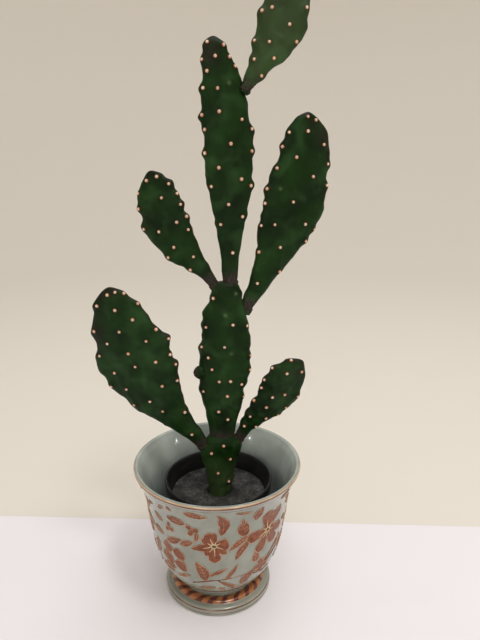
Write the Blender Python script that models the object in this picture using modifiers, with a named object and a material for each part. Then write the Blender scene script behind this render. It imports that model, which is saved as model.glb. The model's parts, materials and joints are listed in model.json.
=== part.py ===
"""Potted prickly-pear cactus: jointed pads on a short trunk, in a black plant pot inside a glazed cachepot.

Metres, +Z up. The origin is the centre of the cachepot's foot, on the surface that it stands on.
+X is the viewer's right and -Y faces the viewer. Sizes below are in millimetres.
"""

import math
import random

import bmesh
import bpy
from mathutils import Matrix, Vector

MM = 0.001
GAP = 0.3

# Driving dimensions of the cachepot and what it holds
RIM_RADIUS = 91.8
RIM_HEIGHT = 155.5
CACHEPOT_WALL = 5.2
CACHEPOT_FLOOR = 27.5
TURNING_STEPS = 36
PLANT_CENTRE = (1.0, 4.0)
NURSERY_RIM_RADIUS = 60.0
NURSERY_RIM_HEIGHT = 133.0
NURSERY_FOOT_RADIUS = 41.0
NURSERY_WALL = 1.5
NURSERY_DRAFT = 0.158
NURSERY_BAND = 11.0
NURSERY_FLOOR = 2.5
FILL_HEIGHT = 113.0
STEM_RADIUS = 13.2
STEM_FOOT = (1.0, 9.0, 68.0)
STEM_RING = 1.3
STEM_RING_DEPTH = 2.5
STEM_HOLE_SIDES = 28

# How pads are shaped, joined and dotted
SECTION_SIDES = 12
RING_SPACING = 8.0
TIP_RINGS = 3
PLUG_DEPTH = 5.0
PLUG_TAPER = 0.74
NECK_CLEAR = 12.0
SEAT_DEPTH = 14.0
SEAT_WALL = 1.5
SCALLOP_LIFT = 1.7
SCALLOP_REACH = 7.5
EDGE_BAND = 6.5
AREOLE_RADIUS = 2.6
AREOLE_HEIGHT = 1.7
AREOLE_ROOT = 3.0
AREOLE_SIDES = 5
KNOB_TOP = 0.55
EDGE_LIMIT = 0.97
BACK_SHIFT = 8.0
BACK_JITTER = 3.0
FACE_SHARE = 0.8
BACK_SEED = 11

# Each stem or pad: its foot and tip, how far it faces left about its own axis in degrees, half widths left
# and right and full thicknesses as (distance along, size), how flat its faces are, the length over which
# the tip rounds off, and the areoles on its front as (distance along, distance across to the right)
PADS = {
    "trunk": {
        "parent": None, "foot": STEM_FOOT, "tip": (5.2, 9.0, 178.0), "turn": 0,
        "left": [(0, STEM_RADIUS), (45, STEM_RADIUS), (63, 15.4), (82, 21.5), (93, 24), (102, 20.5),
                 (110, 14)],
        "right": [(0, STEM_RADIUS), (45, STEM_RADIUS), (63, 15), (87, 19.7), (104, 22.6), (110, 21)],
        "thick": [(0, 2 * STEM_RADIUS), (45, 2 * STEM_RADIUS), (63, 28), (110, 24)], "flat": 0.0, "cap": 4,
        "areoles": [(62, 9), (73, -3), (89, 10), (96, -11), (106, 2)],
    },
    "pad_lower_left": {
        "parent": "trunk", "foot": (-16, 8, 171), "tip": (-107, -12, 354), "turn": 12,
        "left": [(0, 7), (14, 12.3), (22, 17.7), (30, 21.2), (38, 25.8), (46, 30.7), (54, 35.2),
                 (62, 40), (70, 46.3), (78, 49.2), (86, 49.9), (94, 53.2), (102, 56.3),
                 (110, 57.2), (118, 56.8), (126, 59), (134, 56.5), (142, 51.8), (150, 47.2),
                 (158, 43.6), (166, 42.7), (174, 37.8), (182, 31.6), (190, 25.3), (198, 20.4),
                 (205, 15)],
        "right": [(0, 7), (14, 7), (22, 7), (30, 6.7), (38, 7), (46, 5.6), (54, 6.6), (62, 8.8),
                  (70, 11.1), (78, 13.9), (86, 15.3), (94, 19.1), (102, 23.5), (110, 22.5),
                  (118, 22.8), (126, 27.6), (134, 30.1), (142, 26.1), (150, 22.9), (158, 22.7),
                  (166, 22.4), (174, 21.4), (182, 18.9), (190, 14.1), (198, 10.3), (205, 8)],
        "thick": [(0, 11), (70, 17), (145, 16), (205, 11)], "flat": 0.2, "cap": 12,
        "areoles": [(20, -2), (48, 4), (60, -16), (76, -23), (78, -42), (86, 15), (88, -1), (99, -39),
                    (104, 23), (107, -54), (116, 7), (116, 23), (120, -15), (121, -41), (133, 31),
                    (136, -14), (141, 10), (144, -46), (147, 24), (154, -29), (161, -10), (167, 9),
                    (171, -35), (179, 23), (183, -2), (194, 14), (194, -17), (199, 7), (200, -1)],
    },
    "pad_lower_right": {
        "parent": "trunk", "foot": (26, 9, 178), "tip": (90, -8, 274), "turn": -14,
        "left": [(0, 7), (14, 10.5), (22, 12.3), (30, 13.8), (38, 14.6), (46, 17.7), (54, 16.4),
                 (62, 19.9), (70, 21.1), (78, 23.8), (86, 22.6), (94, 23.8), (102, 19.6),
                 (116, 11)],
        "right": [(0, 4.6), (12, 4.6), (14, 4.5), (22, 5.4), (30, 10), (38, 14.6), (46, 17.4),
                  (54, 20.5), (62, 22.6), (70, 24.8), (78, 22.5), (86, 19.9), (94, 17.6),
                  (102, 14.5), (110, 9), (116, 5)],
        "thick": [(0, 10), (40, 14), (80, 13.5), (116, 10)], "flat": 0.2, "cap": 11,
        "areoles": [(19, -9), (24, 3), (33, -11), (39, 6), (48, 16), (51, -18), (52, -3), (61, 17),
                    (66, -5), (69, -21), (75, 5), (79, -24), (79, 20), (95, -25), (98, -9), (107, 4),
                    (112, -13)],
    },
    "pad_middle": {
        "parent": "trunk", "foot": (5, 9, 178.4), "tip": (9.4, 10, 355.5), "turn": 6,
        "left": [(0, 13), (14, 15), (22, 17.4), (30, 19.1), (38, 21), (46, 23.6), (54, 24.6),
                 (62, 25.4), (70, 25.9), (78, 25.9), (86, 25.7), (94, 25.3), (102, 26.3),
                 (110, 23.7), (118, 24.4), (126, 22.9), (134, 22.8), (142, 23.8), (150, 19.3),
                 (158, 14.4), (166, 13.6), (177, 13)],
        "right": [(0, 13), (14, 15.6), (22, 17.1), (30, 18.6), (38, 20.4), (46, 22.5), (54, 22.6),
                  (62, 24.4), (70, 26.2), (78, 28.9), (86, 28.3), (94, 28.3), (102, 27.6),
                  (110, 29.3), (118, 29.1), (126, 26.4), (134, 23.9), (142, 22.7), (150, 21),
                  (158, 18.8), (166, 16.8), (177, 14)],
        "thick": [(0, 18), (60, 21), (125, 20), (177, 17)], "flat": 0.2, "cap": 5,
        "areoles": [(26, 7), (35, -3), (52, 23), (54, 6), (57, -20), (67, 21), (70, -3), (71, 9),
                    (83, -11), (83, 29), (96, -15), (99, 29), (107, -22), (109, 2), (129, -18), (132, 24),
                    (133, 10), (160, -11), (166, 12)],
    },
    "pad_mid_left": {
        "parent": "pad_middle", "foot": (-2.5, 11, 352.5), "tip": (-66, 26, 464), "turn": 14,
        "left": [(0, 5.2), (10, 8), (14, 9.7), (22, 13.8), (30, 18.7), (38, 25.7), (46, 29.2),
                 (54, 31.6), (62, 33.6), (70, 36.1), (78, 37.1), (86, 37.1), (94, 31.4),
                 (102, 29.9), (110, 26.4), (118, 19), (129, 7.5)],
        "right": [(0, 5.2), (14, 5.1), (22, 5.8), (30, 5.7), (38, 5.9), (46, 7.3), (54, 8.1),
                  (62, 9.2), (70, 11.9), (78, 11.5), (86, 14.6), (94, 14.2), (102, 14.2),
                  (110, 14.7), (118, 10), (129, 7)],
        "thick": [(0, 9.5), (45, 13), (90, 12.5), (129, 9)], "flat": 0.2, "cap": 9,
        "areoles": [(24, -12), (34, -2), (46, -26), (52, -15), (60, 7), (72, 1), (72, 12), (73, -21),
                    (83, -34), (85, 13), (96, 15), (100, 0), (103, -28), (108, 13), (116, -20), (120, 6),
                    (122, -5)],
    },
    "pad_upper_right": {
        "parent": "pad_middle", "foot": (31, 12, 328), "tip": (93, 30, 521), "turn": -12,
        "left": [(0, 5.4), (14, 5.8), (22, 5), (30, 5.3), (38, 5.4), (46, 6.2), (54, 6),
                 (62, 6.8), (70, 10.8), (78, 12.4), (86, 12.2), (94, 15), (102, 14.2),
                 (110, 15.2), (118, 18.7), (126, 17.7), (134, 18.6), (142, 16.6), (150, 15.5),
                 (158, 15.2), (166, 16.7), (174, 15), (182, 14.9), (190, 12.9), (203, 5.5)],
        "right": [(0, 7.2), (14, 12.6), (22, 16.4), (30, 18.7), (38, 21.1), (46, 24.9),
                  (54, 29.3), (62, 32.5), (70, 35.5), (78, 38.9), (86, 42.4), (94, 44.3),
                  (102, 45.2), (110, 47.2), (118, 48.5), (126, 46.3), (134, 45.8), (142, 44.8),
                  (150, 39.5), (158, 38.7), (166, 37.7), (174, 35.4), (182, 31), (190, 27.2),
                  (203, 14)],
        "thick": [(0, 12), (70, 17), (140, 16), (203, 11)], "flat": 0.2, "cap": 11,
        "areoles": [(27, 2), (45, 21), (58, -6), (69, 13), (83, 39), (84, -12), (89, 0), (97, 44),
                    (99, 31), (106, -15), (116, 11), (120, -18), (142, -15), (143, 41), (146, 23),
                    (158, 0), (163, 35), (163, -16), (178, -14), (179, 24), (185, 3), (198, 8),
                    (198, -1)],
    },
    "pad_upper": {
        "parent": "pad_middle", "foot": (14.3, 10, 355.8), "tip": (-0.8, 2, 582.5), "turn": -6,
        "left": [(0, 7.2), (14, 7.6), (22, 7), (30, 7.8), (38, 9.1), (46, 9.7), (54, 10.1),
                 (62, 10.4), (70, 12.2), (78, 13.3), (86, 14.5), (94, 14), (102, 16), (110, 16.7),
                 (118, 17), (126, 18.2), (134, 15.2), (142, 15.1), (150, 15.4), (158, 18),
                 (166, 15.4), (174, 15.8), (182, 15.7), (190, 13.3), (198, 10.8), (206, 12),
                 (214, 11), (227, 7)],
        "right": [(0, 7.8), (14, 10.2), (22, 11.3), (30, 12.5), (38, 13.8), (46, 16.1),
                  (54, 18.8), (62, 19.4), (70, 21.6), (78, 24.7), (86, 27.4), (94, 29.5),
                  (102, 28.8), (110, 29.5), (118, 29.7), (126, 31.5), (134, 32.2), (142, 32.9),
                  (150, 30.2), (158, 29.4), (166, 29.3), (174, 26.9), (182, 24), (190, 23.2),
                  (198, 20.7), (206, 15.4), (214, 11.8), (227, 6.5)],
        "thick": [(0, 12), (80, 17), (160, 16), (227, 11)], "flat": 0.2, "cap": 9,
        "areoles": [(30, 4), (59, -6), (65, 16), (78, 3), (94, 26), (96, -12), (101, 17), (113, -4),
                    (126, 29), (127, -16), (134, 9), (146, 30), (148, -14), (155, 21), (161, -16),
                    (163, 0), (183, 0), (184, -13), (198, -8), (201, 18), (208, -12), (209, 13), (210, 0),
                    (219, 8), (222, -6)],
    },
    "pad_top": {
        "parent": "pad_upper", "foot": (29, 3, 538.7), "tip": (78, 14, 639.4), "turn": 10,
        "left": [(0, 4.8), (14, 6.5), (22, 7.2), (30, 9.4), (38, 11.5), (46, 13.3), (54, 15.2),
                 (62, 17.1), (70, 17.2), (78, 17.5), (86, 16.9), (94, 15.2), (102, 13.1),
                 (112, 10)],
        "right": [(0, 4.8), (14, 9.8), (22, 13.2), (30, 16.3), (38, 21.8), (46, 25.1), (54, 25.2),
                  (62, 29.3), (70, 29.4), (78, 25.2), (86, 20.8), (94, 19.5), (102, 16.3),
                  (112, 12)],
        "thick": [(0, 9), (40, 13), (75, 12.5), (112, 9)], "flat": 0.2, "cap": 10,
        "areoles": [(15, 9), (25, -3), (33, 13), (40, -10), (44, 3), (55, 25), (65, 13), (66, -15),
                    (72, -8), (85, 20), (88, 4), (94, -13), (103, 9), (106, -3)],
    },
}

# The dormant brown bud on the middle pad's left edge: distance along, distance across, radius, height
BUD = (77.0, -25.9, 6.6, 7.5)
BUD_SIDES = 9


def clear_scene():
    for old in list(bpy.data.objects):
        bpy.data.objects.remove(old)


def new_collection(name):
    made = bpy.data.collections.new(name)
    bpy.context.scene.collection.children.link(made)
    return made


def linear(hex_colour):
    """An sRGB hex colour as linear RGBA."""
    parts = [int(hex_colour[i:i + 2], 16) / 255 for i in (0, 2, 4)]
    return [p / 12.92 if p <= 0.04045 else ((p + 0.055) / 1.055) ** 2.4 for p in parts] + [1.0]


def material(name, hex_colour, roughness, metallic=0.0):
    made = bpy.data.materials.new(name)
    made.use_nodes = True
    shader = made.node_tree.nodes["Principled BSDF"]
    shader.inputs["Base Color"].default_value = linear(hex_colour)
    shader.inputs["Roughness"].default_value = roughness
    shader.inputs["Metallic"].default_value = metallic
    return made


def new_object(name, mesh, collection, matrix=None):
    made = bpy.data.objects.new(name, mesh)
    made.matrix_world = matrix or Matrix.Identity(4)
    collection.objects.link(made)
    return made


def finish(part, finish_material, origin):
    """Gives a part its material and its place under the pot's origin, shaded smooth but for its corners."""
    part.data.materials.clear()
    part.data.materials.append(finish_material)
    part.data.shade_smooth()
    part.data.set_sharp_from_angle(angle=math.radians(45))
    part.parent = origin


def turned(name, profile, centre, collection):
    """A closed turned shape from (radius, height) points that run down its outer side."""
    mesh = bpy.data.meshes.new(name)
    points = [(radius * MM, 0, height * MM) for radius, height in profile]
    mesh.from_pydata(points, [(i, i + 1) for i in range(len(points) - 1)], [])
    made = new_object(name, mesh, collection, Matrix.Translation((centre[0] * MM, centre[1] * MM, 0)))
    screw = made.modifiers.new("Screw", "SCREW")
    screw.steps = screw.render_steps = TURNING_STEPS
    screw.use_merge_vertices = True
    screw.merge_threshold = 0.00001
    return made


def offset_line(line, distance):
    """A run of (radius, height) points moved towards the axis by a wall's thickness."""
    moved = []
    for i, (radius, height) in enumerate(line):
        before, after = line[max(i - 1, 0)], line[min(i + 1, len(line) - 1)]
        run, rise = after[0] - before[0], after[1] - before[1]
        size = math.hypot(run, rise)
        moved.append((radius - distance * rise / size, height + distance * run / size))
    return moved


def cachepot(collection):
    """The glazed bell-shaped pot, turned with its foot and floor in one piece."""
    body = [(54, 26.5), (62.5, 39), (67, 50), (70.3, 61), (73, 73), (75, 87), (77, 100), (78.6, 115),
            (80.5, 126), (84, 137), (88.5, 148)]
    lip = [(87.2, 155.8), (89.2, RIM_HEIGHT + 1.3), (91, RIM_HEIGHT + 1.1), (RIM_RADIUS, RIM_HEIGHT - 0.6),
           (91.2, 153)]
    foot = [(49.5, 22.5), (42.5, 20.5), (40.2, 16), (42, 12.5), (46, 10.5), (56, 9.2), (59.5, 7.5), (60.8, 4),
            (60.8, 1.5), (59.3, 0)]
    inside = [point for point in offset_line(body, CACHEPOT_WALL) if point[1] > CACHEPOT_FLOOR + 3]
    floor = [(0, CACHEPOT_FLOOR), (47, CACHEPOT_FLOOR)]
    return turned("cachepot", floor + inside + lip + body[::-1] + foot + [(0, 0)], (0, 0), collection)


def nursery_wall(height):
    """The outer radius of the plant pot's tapering wall at a height."""
    foot = CACHEPOT_FLOOR + GAP
    return NURSERY_FOOT_RADIUS + (height - foot) * NURSERY_DRAFT


def nursery_pot(collection):
    """The black plastic plant pot, a thin tapering wall under a wider rim band."""
    foot = CACHEPOT_FLOOR + GAP
    inside_floor = foot + NURSERY_FLOOR
    band_foot = NURSERY_RIM_HEIGHT - NURSERY_BAND
    rim = NURSERY_RIM_RADIUS
    profile = [
        (0, inside_floor),
        (nursery_wall(inside_floor) - NURSERY_WALL, inside_floor),
        (nursery_wall(band_foot) - NURSERY_WALL, band_foot),
        (rim - 3.2, band_foot + 2),
        (rim - 2.6, NURSERY_RIM_HEIGHT - 0.8),
        (rim - 1.8, NURSERY_RIM_HEIGHT),
        (rim - 0.6, NURSERY_RIM_HEIGHT),
        (rim, NURSERY_RIM_HEIGHT - 0.8),
        (rim - 0.8, band_foot),
        (nursery_wall(band_foot) + 0.4, band_foot - 0.4),
        (nursery_wall(foot + 1.5), foot + 1.5),
        (NURSERY_FOOT_RADIUS - 1, foot),
        (0, foot),
    ]
    return turned("nursery_pot", profile, PLANT_CENTRE, collection)


def pot_fill(collection):
    """The dark gritty fill, cast to the plant pot's shape."""
    bottom = CACHEPOT_FLOOR + NURSERY_FLOOR + 2 * GAP
    edge = -NURSERY_WALL - GAP
    profile = [
        (0, FILL_HEIGHT),
        (nursery_wall(FILL_HEIGHT) + edge - 1.2, FILL_HEIGHT),
        (nursery_wall(FILL_HEIGHT - 1) + edge, FILL_HEIGHT - 1),
        (nursery_wall(bottom + 1) + edge, bottom + 1),
        (nursery_wall(bottom) + edge - 1, bottom),
        (0, bottom),
    ]
    return turned("pot_fill", profile, PLANT_CENTRE, collection)


def smooth_curve(points, place):
    """The value at a place on a smooth curve through (place, value) points that doesn't overshoot them."""
    places = [p[0] for p in points]
    values = [p[1] for p in points]
    if place <= places[0]:
        return values[0]
    if place >= places[-1]:
        return values[-1]
    steps = [(values[i + 1] - values[i]) / (places[i + 1] - places[i]) for i in range(len(points) - 1)]
    slopes = [steps[0]]
    for before, after in zip(steps, steps[1:]):
        slopes.append(2 * before * after / (before + after) if before * after > 0 else 0.0)
    slopes.append(steps[-1])
    i = max(k for k in range(len(steps)) if places[k] <= place)
    span = places[i + 1] - places[i]
    t = (place - places[i]) / span
    return (
        values[i] * (1 + 2 * t) * (1 - t) ** 2
        + values[i + 1] * t * t * (3 - 2 * t)
        + span * (slopes[i] * t * (1 - t) ** 2 - slopes[i + 1] * t * t * (1 - t))
    )


def pad_length(pad):
    return (Vector(pad["tip"]) - Vector(pad["foot"])).length


def pad_frame(pad):
    """The pad's own frame in metres: X across to the right, Y away from the viewer, Z along it."""
    along = (Vector(pad["tip"]) - Vector(pad["foot"])).normalized()
    back = (Vector((0, 1, 0)) - along * along.y).normalized()
    across = back.cross(along)
    turn = Matrix.Rotation(math.radians(-pad["turn"]), 3, along)
    axes = Matrix([turn @ across, turn @ back, along]).transposed()
    return Matrix.Translation(Vector(pad["foot"]) * MM) @ axes.to_4x4()


def tip_factor(pad, along):
    """How far the rounded tip has closed at a distance along: 1 below it and 0 at its end."""
    into = (along - (pad_length(pad) - pad["cap"])) / pad["cap"]
    return 1.0 if into <= 0 else math.sqrt(max(0.0, 1 - into * into))


def smooth_half_width(pad, side, along):
    return smooth_curve(pad[side], along)


def half_width(pad, side, along):
    """Half width on one side, lifted into a scallop at each areole of that edge."""
    sign = 1 if side == "right" else -1
    width = smooth_half_width(pad, side, along)
    for place, across in pad["areoles"]:
        distance = abs(along - place)
        on_edge = across * sign > smooth_half_width(pad, side, place) - EDGE_BAND
        if on_edge and across * sign > 0 and distance < SCALLOP_REACH:
            width += SCALLOP_LIFT * math.cos(0.5 * math.pi * distance / SCALLOP_REACH) ** 2
    return width * tip_factor(pad, along)


def thickness(pad, along):
    """Full thickness, closing a little more slowly at the tip than the outline does."""
    return smooth_curve(pad["thick"], along) * tip_factor(pad, along) ** 0.8


def signed_power(value, power):
    return math.copysign(abs(value) ** power, value)


def section(pad, along, grow=0.0):
    """(middle, half width, half depth, flatness) of the pad's section. Below the foot its plug tapers."""
    place = max(along, 0.0)
    left, right = half_width(pad, "left", place), half_width(pad, "right", place)
    scale = 1.0 - (1.0 - PLUG_TAPER) * min(max(-along, 0.0) / PLUG_DEPTH, 1.0)
    flat = pad["flat"] * min(1.0, place / (0.3 * pad_length(pad)))
    half = scale * (left + right) / 2 + grow
    return (right - left) / 2, half, scale * thickness(pad, place) / 2 + grow, flat


def ring(pad, along, grow=0.0):
    middle, half, depth, flat = section(pad, along, grow)
    points = []
    for k in range(SECTION_SIDES):
        angle = 2 * math.pi * k / SECTION_SIDES
        x = middle + half * signed_power(math.cos(angle), 1 - 0.75 * flat)
        y = depth * signed_power(math.sin(angle), 1 - flat)
        points.append((x * MM, y * MM, along * MM))
    return points


def loft(rings, tip=None):
    """A closed mesh through rings of equal count, its first end flat and its last closed to a tip or flat."""
    shape = bmesh.new()
    rows = [[shape.verts.new(point) for point in points] for points in rings]
    count = len(rows[0])
    for lower, upper in zip(rows, rows[1:]):
        for k in range(count):
            n = (k + 1) % count
            shape.faces.new((lower[k], lower[n], upper[n], upper[k]))
    shape.faces.new(rows[0][::-1])
    if tip is None:
        shape.faces.new(rows[-1])
    else:
        end = shape.verts.new(tip)
        for k in range(count):
            shape.faces.new((rows[-1][k], rows[-1][(k + 1) % count], end))
    bmesh.ops.triangulate(shape, faces=shape.faces)
    mesh = bpy.data.meshes.new("loft")
    shape.to_mesh(mesh)
    shape.free()
    return mesh


def pad_mesh(pad):
    length, cap = pad_length(pad), pad["cap"]
    count = max(2, round((length - cap) / RING_SPACING))
    places = [-PLUG_DEPTH, -0.5] if pad["parent"] else []
    places += [(length - cap) * i / count for i in range(count + 1)]
    for i in range(1, TIP_RINGS + 1):
        places.append(length - cap + cap * math.sin(0.5 * math.pi * i / (TIP_RINGS + 1)))
    end = section(pad, places[-1])[0]
    return loft([ring(pad, place) for place in places], (end * MM, 0, length * MM))


def socket_mesh(pad):
    """What a pad's plug and the start of its neck need cut from the piece below it."""
    places = (-PLUG_DEPTH - GAP, -0.5, 0.0, 0.4 * NECK_CLEAR, 0.7 * NECK_CLEAR, NECK_CLEAR)
    return loft([ring(pad, place, GAP) for place in places])


def seat_mesh(pad):
    """The corky collar on the piece below, which the pad's neck stands on."""
    steps = ((-SEAT_DEPTH, 0.0), (-3.0, SEAT_WALL), (-1.4, SEAT_WALL), (-0.4, SEAT_WALL - 0.6))
    return loft([[(x, y, place * MM) for x, y, _ in ring(pad, 0.0, grow)] for place, grow in steps])


def on_surface(pad, along, across, side):
    """A point on the pad's skin and the way out of it, on its front (side -1) or its back (side 1)."""
    middle, half, depth, flat = section(pad, along)
    reach = max(-EDGE_LIMIT, min(EDGE_LIMIT, (across - middle) / half))
    angle = math.acos(signed_power(reach, 1 / (1 - 0.75 * flat)))
    outward = Vector((math.cos(angle) / half, side * math.sin(angle) / depth, 0)).normalized()
    return Vector((middle + half * reach, side * depth * math.sin(angle) ** (1 - flat), along)), outward


def areole_places(pad):
    """Front areoles as listed, and the same pattern shifted along on the back, kept off the edges."""
    draw = random.Random(BACK_SEED)
    places = [(along, across, -1) for along, across in pad["areoles"]]
    lowest = pad["areoles"][0][0]
    for along, across in pad["areoles"]:
        shifted = along - BACK_SHIFT + draw.uniform(-BACK_JITTER, BACK_JITTER)
        middle, half, _, _ = section(pad, shifted)
        if shifted > lowest and abs(across - middle) < FACE_SHARE * half:
            places.append((shifted, across, 1))
    return places


def union_all(part, collection):
    """Joins every object of a collection to the part in one Boolean, then removes them."""
    join = part.modifiers.new("Join", "BOOLEAN")
    join.operation = "UNION"
    join.operand_type = "COLLECTION"
    join.collection = collection
    join.solver = "MANIFOLD"
    bpy.context.view_layer.update()
    mesh = bpy.data.meshes.new_from_object(part.evaluated_get(bpy.context.evaluated_depsgraph_get()))
    part.modifiers.clear()
    part.data = mesh
    for joined in list(collection.objects):
        bpy.data.objects.remove(joined)
    bpy.data.collections.remove(collection)


def knob_mesh(radius, height, root, sides):
    """A low blunt knob about the Z axis, its root below the skin at height 0."""
    shape = bmesh.new()
    bmesh.ops.create_cone(
        shape, cap_ends=True, segments=sides, radius1=radius * MM, radius2=KNOB_TOP * radius * MM,
        depth=(height + root) * MM, matrix=Matrix.Translation((0, 0, (height - root) / 2 * MM)),
    )
    bmesh.ops.triangulate(shape, faces=shape.faces)
    mesh = bpy.data.meshes.new("knob")
    shape.to_mesh(mesh)
    shape.free()
    return mesh


def standing_on(pad, along, across, side):
    """The place of a knob that stands square on the pad's skin."""
    skin, outward = on_surface(pad, along, across, side)
    square = outward.to_track_quat("Z", "Y").to_matrix().to_4x4()
    return pad_frame(pad) @ Matrix.Translation(skin * MM) @ square


def build_pad(name, pad, collection, cutters):
    """One pad or the trunk, with its collars and areoles joined on and its sockets cut."""
    frame = pad_frame(pad)
    part = new_object(name, pad_mesh(pad), collection, frame)
    children = [other for other in PADS.values() if other["parent"] == name]
    extras = new_collection(name + "_extras")
    for child in children:
        new_object("collar", seat_mesh(child), extras, pad_frame(child))
    areole = knob_mesh(AREOLE_RADIUS, AREOLE_HEIGHT, AREOLE_ROOT, AREOLE_SIDES)
    for along, across, side in areole_places(pad):
        new_object("areole", areole, extras, standing_on(pad, along, across, side))
    if name == "pad_middle":
        along, across, radius, height = BUD
        bud = knob_mesh(radius, height, radius, BUD_SIDES)
        new_object("bud", bud, extras, standing_on(pad, along, across, -1))
    union_all(part, extras)
    for child in children:
        cutter = new_object(name + "_socket", socket_mesh(child), cutters, pad_frame(child))
        cut(part, cutter)
    return part


def cut(part, cutter):
    cutter.hide_render = True
    cutter.display_type = "WIRE"
    made = part.modifiers.new("Cut", "BOOLEAN")
    made.operation = "DIFFERENCE"
    made.object = cutter


def stem_hole(cutters):
    """The plain hole in the fill, with a wider ring at its mouth, both on the trunk's axis."""
    trunk = PADS["trunk"]
    frame = pad_frame(trunk)
    mouth = FILL_HEIGHT - STEM_FOOT[2]
    radius = STEM_RADIUS + GAP
    wide = radius + STEM_RING
    shoulder = mouth - STEM_RING_DEPTH
    turns = [2 * math.pi * k / STEM_HOLE_SIDES for k in range(STEM_HOLE_SIDES)]
    rings = []
    for along, reach in ((-GAP, radius), (shoulder, radius), (shoulder + 0.1, wide), (mouth + 6, wide)):
        rings.append([(reach * MM * math.cos(a), reach * MM * math.sin(a), along * MM) for a in turns])
    return new_object("stem_hole", loft(rings), cutters, frame)


def main():
    clear_scene()
    collection = new_collection("potted_cactus")
    cutters = new_collection("cutters")
    origin = new_object("potted_cactus_origin", None, collection)

    glaze = material("celadon_glaze", "8E8B80", 0.18)
    plastic = material("black_plastic", "141412", 0.45)
    grit = material("dark_fill", "363531", 0.95)
    skin = material("cactus_skin", "1E2E18", 0.5)

    finish(cachepot(collection), glaze, origin)
    finish(nursery_pot(collection), plastic, origin)
    fill = pot_fill(collection)
    cut(fill, stem_hole(cutters))
    finish(fill, grit, origin)
    for name, pad in PADS.items():
        finish(build_pad(name, pad, collection, cutters), skin, origin)


main()
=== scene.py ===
"""Looks of the potted prickly-pear cactus, in the order in which it is put together: the glazed cachepot and
its copper flowers, the black plant pot, the gritty fill, the trunk, the pads and their dots, then the stage.

Metres, +Z up, -Y towards the viewer. Sizes in the sections are in millimetres unless they say otherwise.
"""

import math
import random

import bpy
import numpy as np
from mathutils import Matrix, Vector, noise
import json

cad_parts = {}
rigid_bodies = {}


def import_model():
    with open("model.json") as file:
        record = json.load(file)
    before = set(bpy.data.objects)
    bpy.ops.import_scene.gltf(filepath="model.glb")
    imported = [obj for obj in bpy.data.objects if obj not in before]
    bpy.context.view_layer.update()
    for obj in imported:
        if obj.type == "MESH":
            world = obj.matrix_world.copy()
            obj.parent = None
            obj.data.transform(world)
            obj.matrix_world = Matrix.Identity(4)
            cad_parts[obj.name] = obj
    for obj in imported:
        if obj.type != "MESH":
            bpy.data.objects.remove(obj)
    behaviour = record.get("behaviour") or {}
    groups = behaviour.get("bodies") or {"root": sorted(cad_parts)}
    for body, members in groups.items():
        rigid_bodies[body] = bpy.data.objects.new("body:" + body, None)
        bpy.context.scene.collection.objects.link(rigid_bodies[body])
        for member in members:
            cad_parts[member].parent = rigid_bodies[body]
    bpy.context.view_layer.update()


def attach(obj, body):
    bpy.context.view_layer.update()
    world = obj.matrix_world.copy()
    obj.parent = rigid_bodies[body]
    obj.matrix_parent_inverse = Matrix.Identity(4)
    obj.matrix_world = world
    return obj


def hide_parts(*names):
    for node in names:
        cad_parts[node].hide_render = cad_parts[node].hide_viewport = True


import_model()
MM = 0.001

# --- Cachepot -------------------------------------------------------------------------------------------
# One bell-shaped piece of slip-cast porcelain on a short waisted foot, under a celadon-grey glaze. The lip's
# crest and its lines, a line under the body and three on the foot are brushed on in enamel and lustre.


def linear(hex_colour):
    """An sRGB hex colour as linear RGBA."""
    parts = [int(hex_colour[i:i + 2], 16) / 255 for i in (0, 2, 4)]
    return tuple(p / 12.92 if p <= 0.04045 else ((p + 0.055) / 1.055) ** 2.4 for p in parts) + (1.0,)


def new_material(name):
    """A node material of that name, with its node tree and its shader."""
    made = bpy.data.materials.new(name)
    made.use_nodes = True
    return made, made.node_tree, made.node_tree.nodes["Principled BSDF"]


def add(tree, kind, inputs=(), stops=(), **settings):
    """Adds a node with settings, inputs as values or links, and a colour ramp's (place, hex) stops."""
    made = tree.nodes.new("ShaderNode" + kind)
    for name, value in settings.items():
        setattr(made, name, value)
    for name, value in dict(inputs).items():
        if isinstance(value, bpy.types.NodeSocket):
            tree.links.new(value, made.inputs[name])
        else:
            made.inputs[name].default_value = value
    for i, (place, shade) in enumerate(stops):
        elements = made.color_ramp.elements
        stop = elements[i] if i < 2 else elements.new(place)
        stop.position = place
        stop.color = linear(shade)
    return made


def link(tree, shader, **inputs):
    """Links outputs to the shader's inputs, named with _ for a space."""
    for name, output in inputs.items():
        tree.links.new(output, shader.inputs[name.replace("_", " ")])


def settle(tree, shader, **values):
    """Sets plain values on the shader's own sockets, named with _ for a space."""
    for name, value in values.items():
        shader.inputs[name.replace("_", " ")].default_value = value


def clouds(tree, place, size, detail, **inputs):
    """The share, from 0 to 1, of a noise whose features have a size in metres."""
    inputs = {"Vector": place, "Scale": 1 / size, "Detail": detail} | inputs
    return add(tree, "TexNoise", inputs).outputs["Fac"]


def ramp(tree, share, *stops):
    """The colour at a share of a ramp of (place, hex) stops."""
    return add(tree, "ValToRGB", {"Fac": share}, stops=stops).outputs["Color"]


def maths(tree, operation, *values):
    """The result of one operation on values or links."""
    return add(tree, "Math", dict(enumerate(values)), operation=operation).outputs[0]


def blend(tree, share, under, over, **settings):
    """A share of one colour laid over another."""
    return add(tree, "Mix", {0: share, 6: under, 7: over}, data_type="RGBA", **settings).outputs[2]


def spread(tree, value, least, most, low=0.0, high=1.0):
    """A value between least and most, brought between low and high."""
    inputs = {"Value": value, "From Min": least, "From Max": most, "To Min": low, "To Max": high}
    return add(tree, "MapRange", inputs).outputs["Result"]


def relief(tree, height, strength, depth):
    """The normal of a surface raised by a height, to a depth in metres."""
    return add(tree, "Bump", {"Height": height, "Strength": strength, "Distance": depth}).outputs["Normal"]


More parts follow.
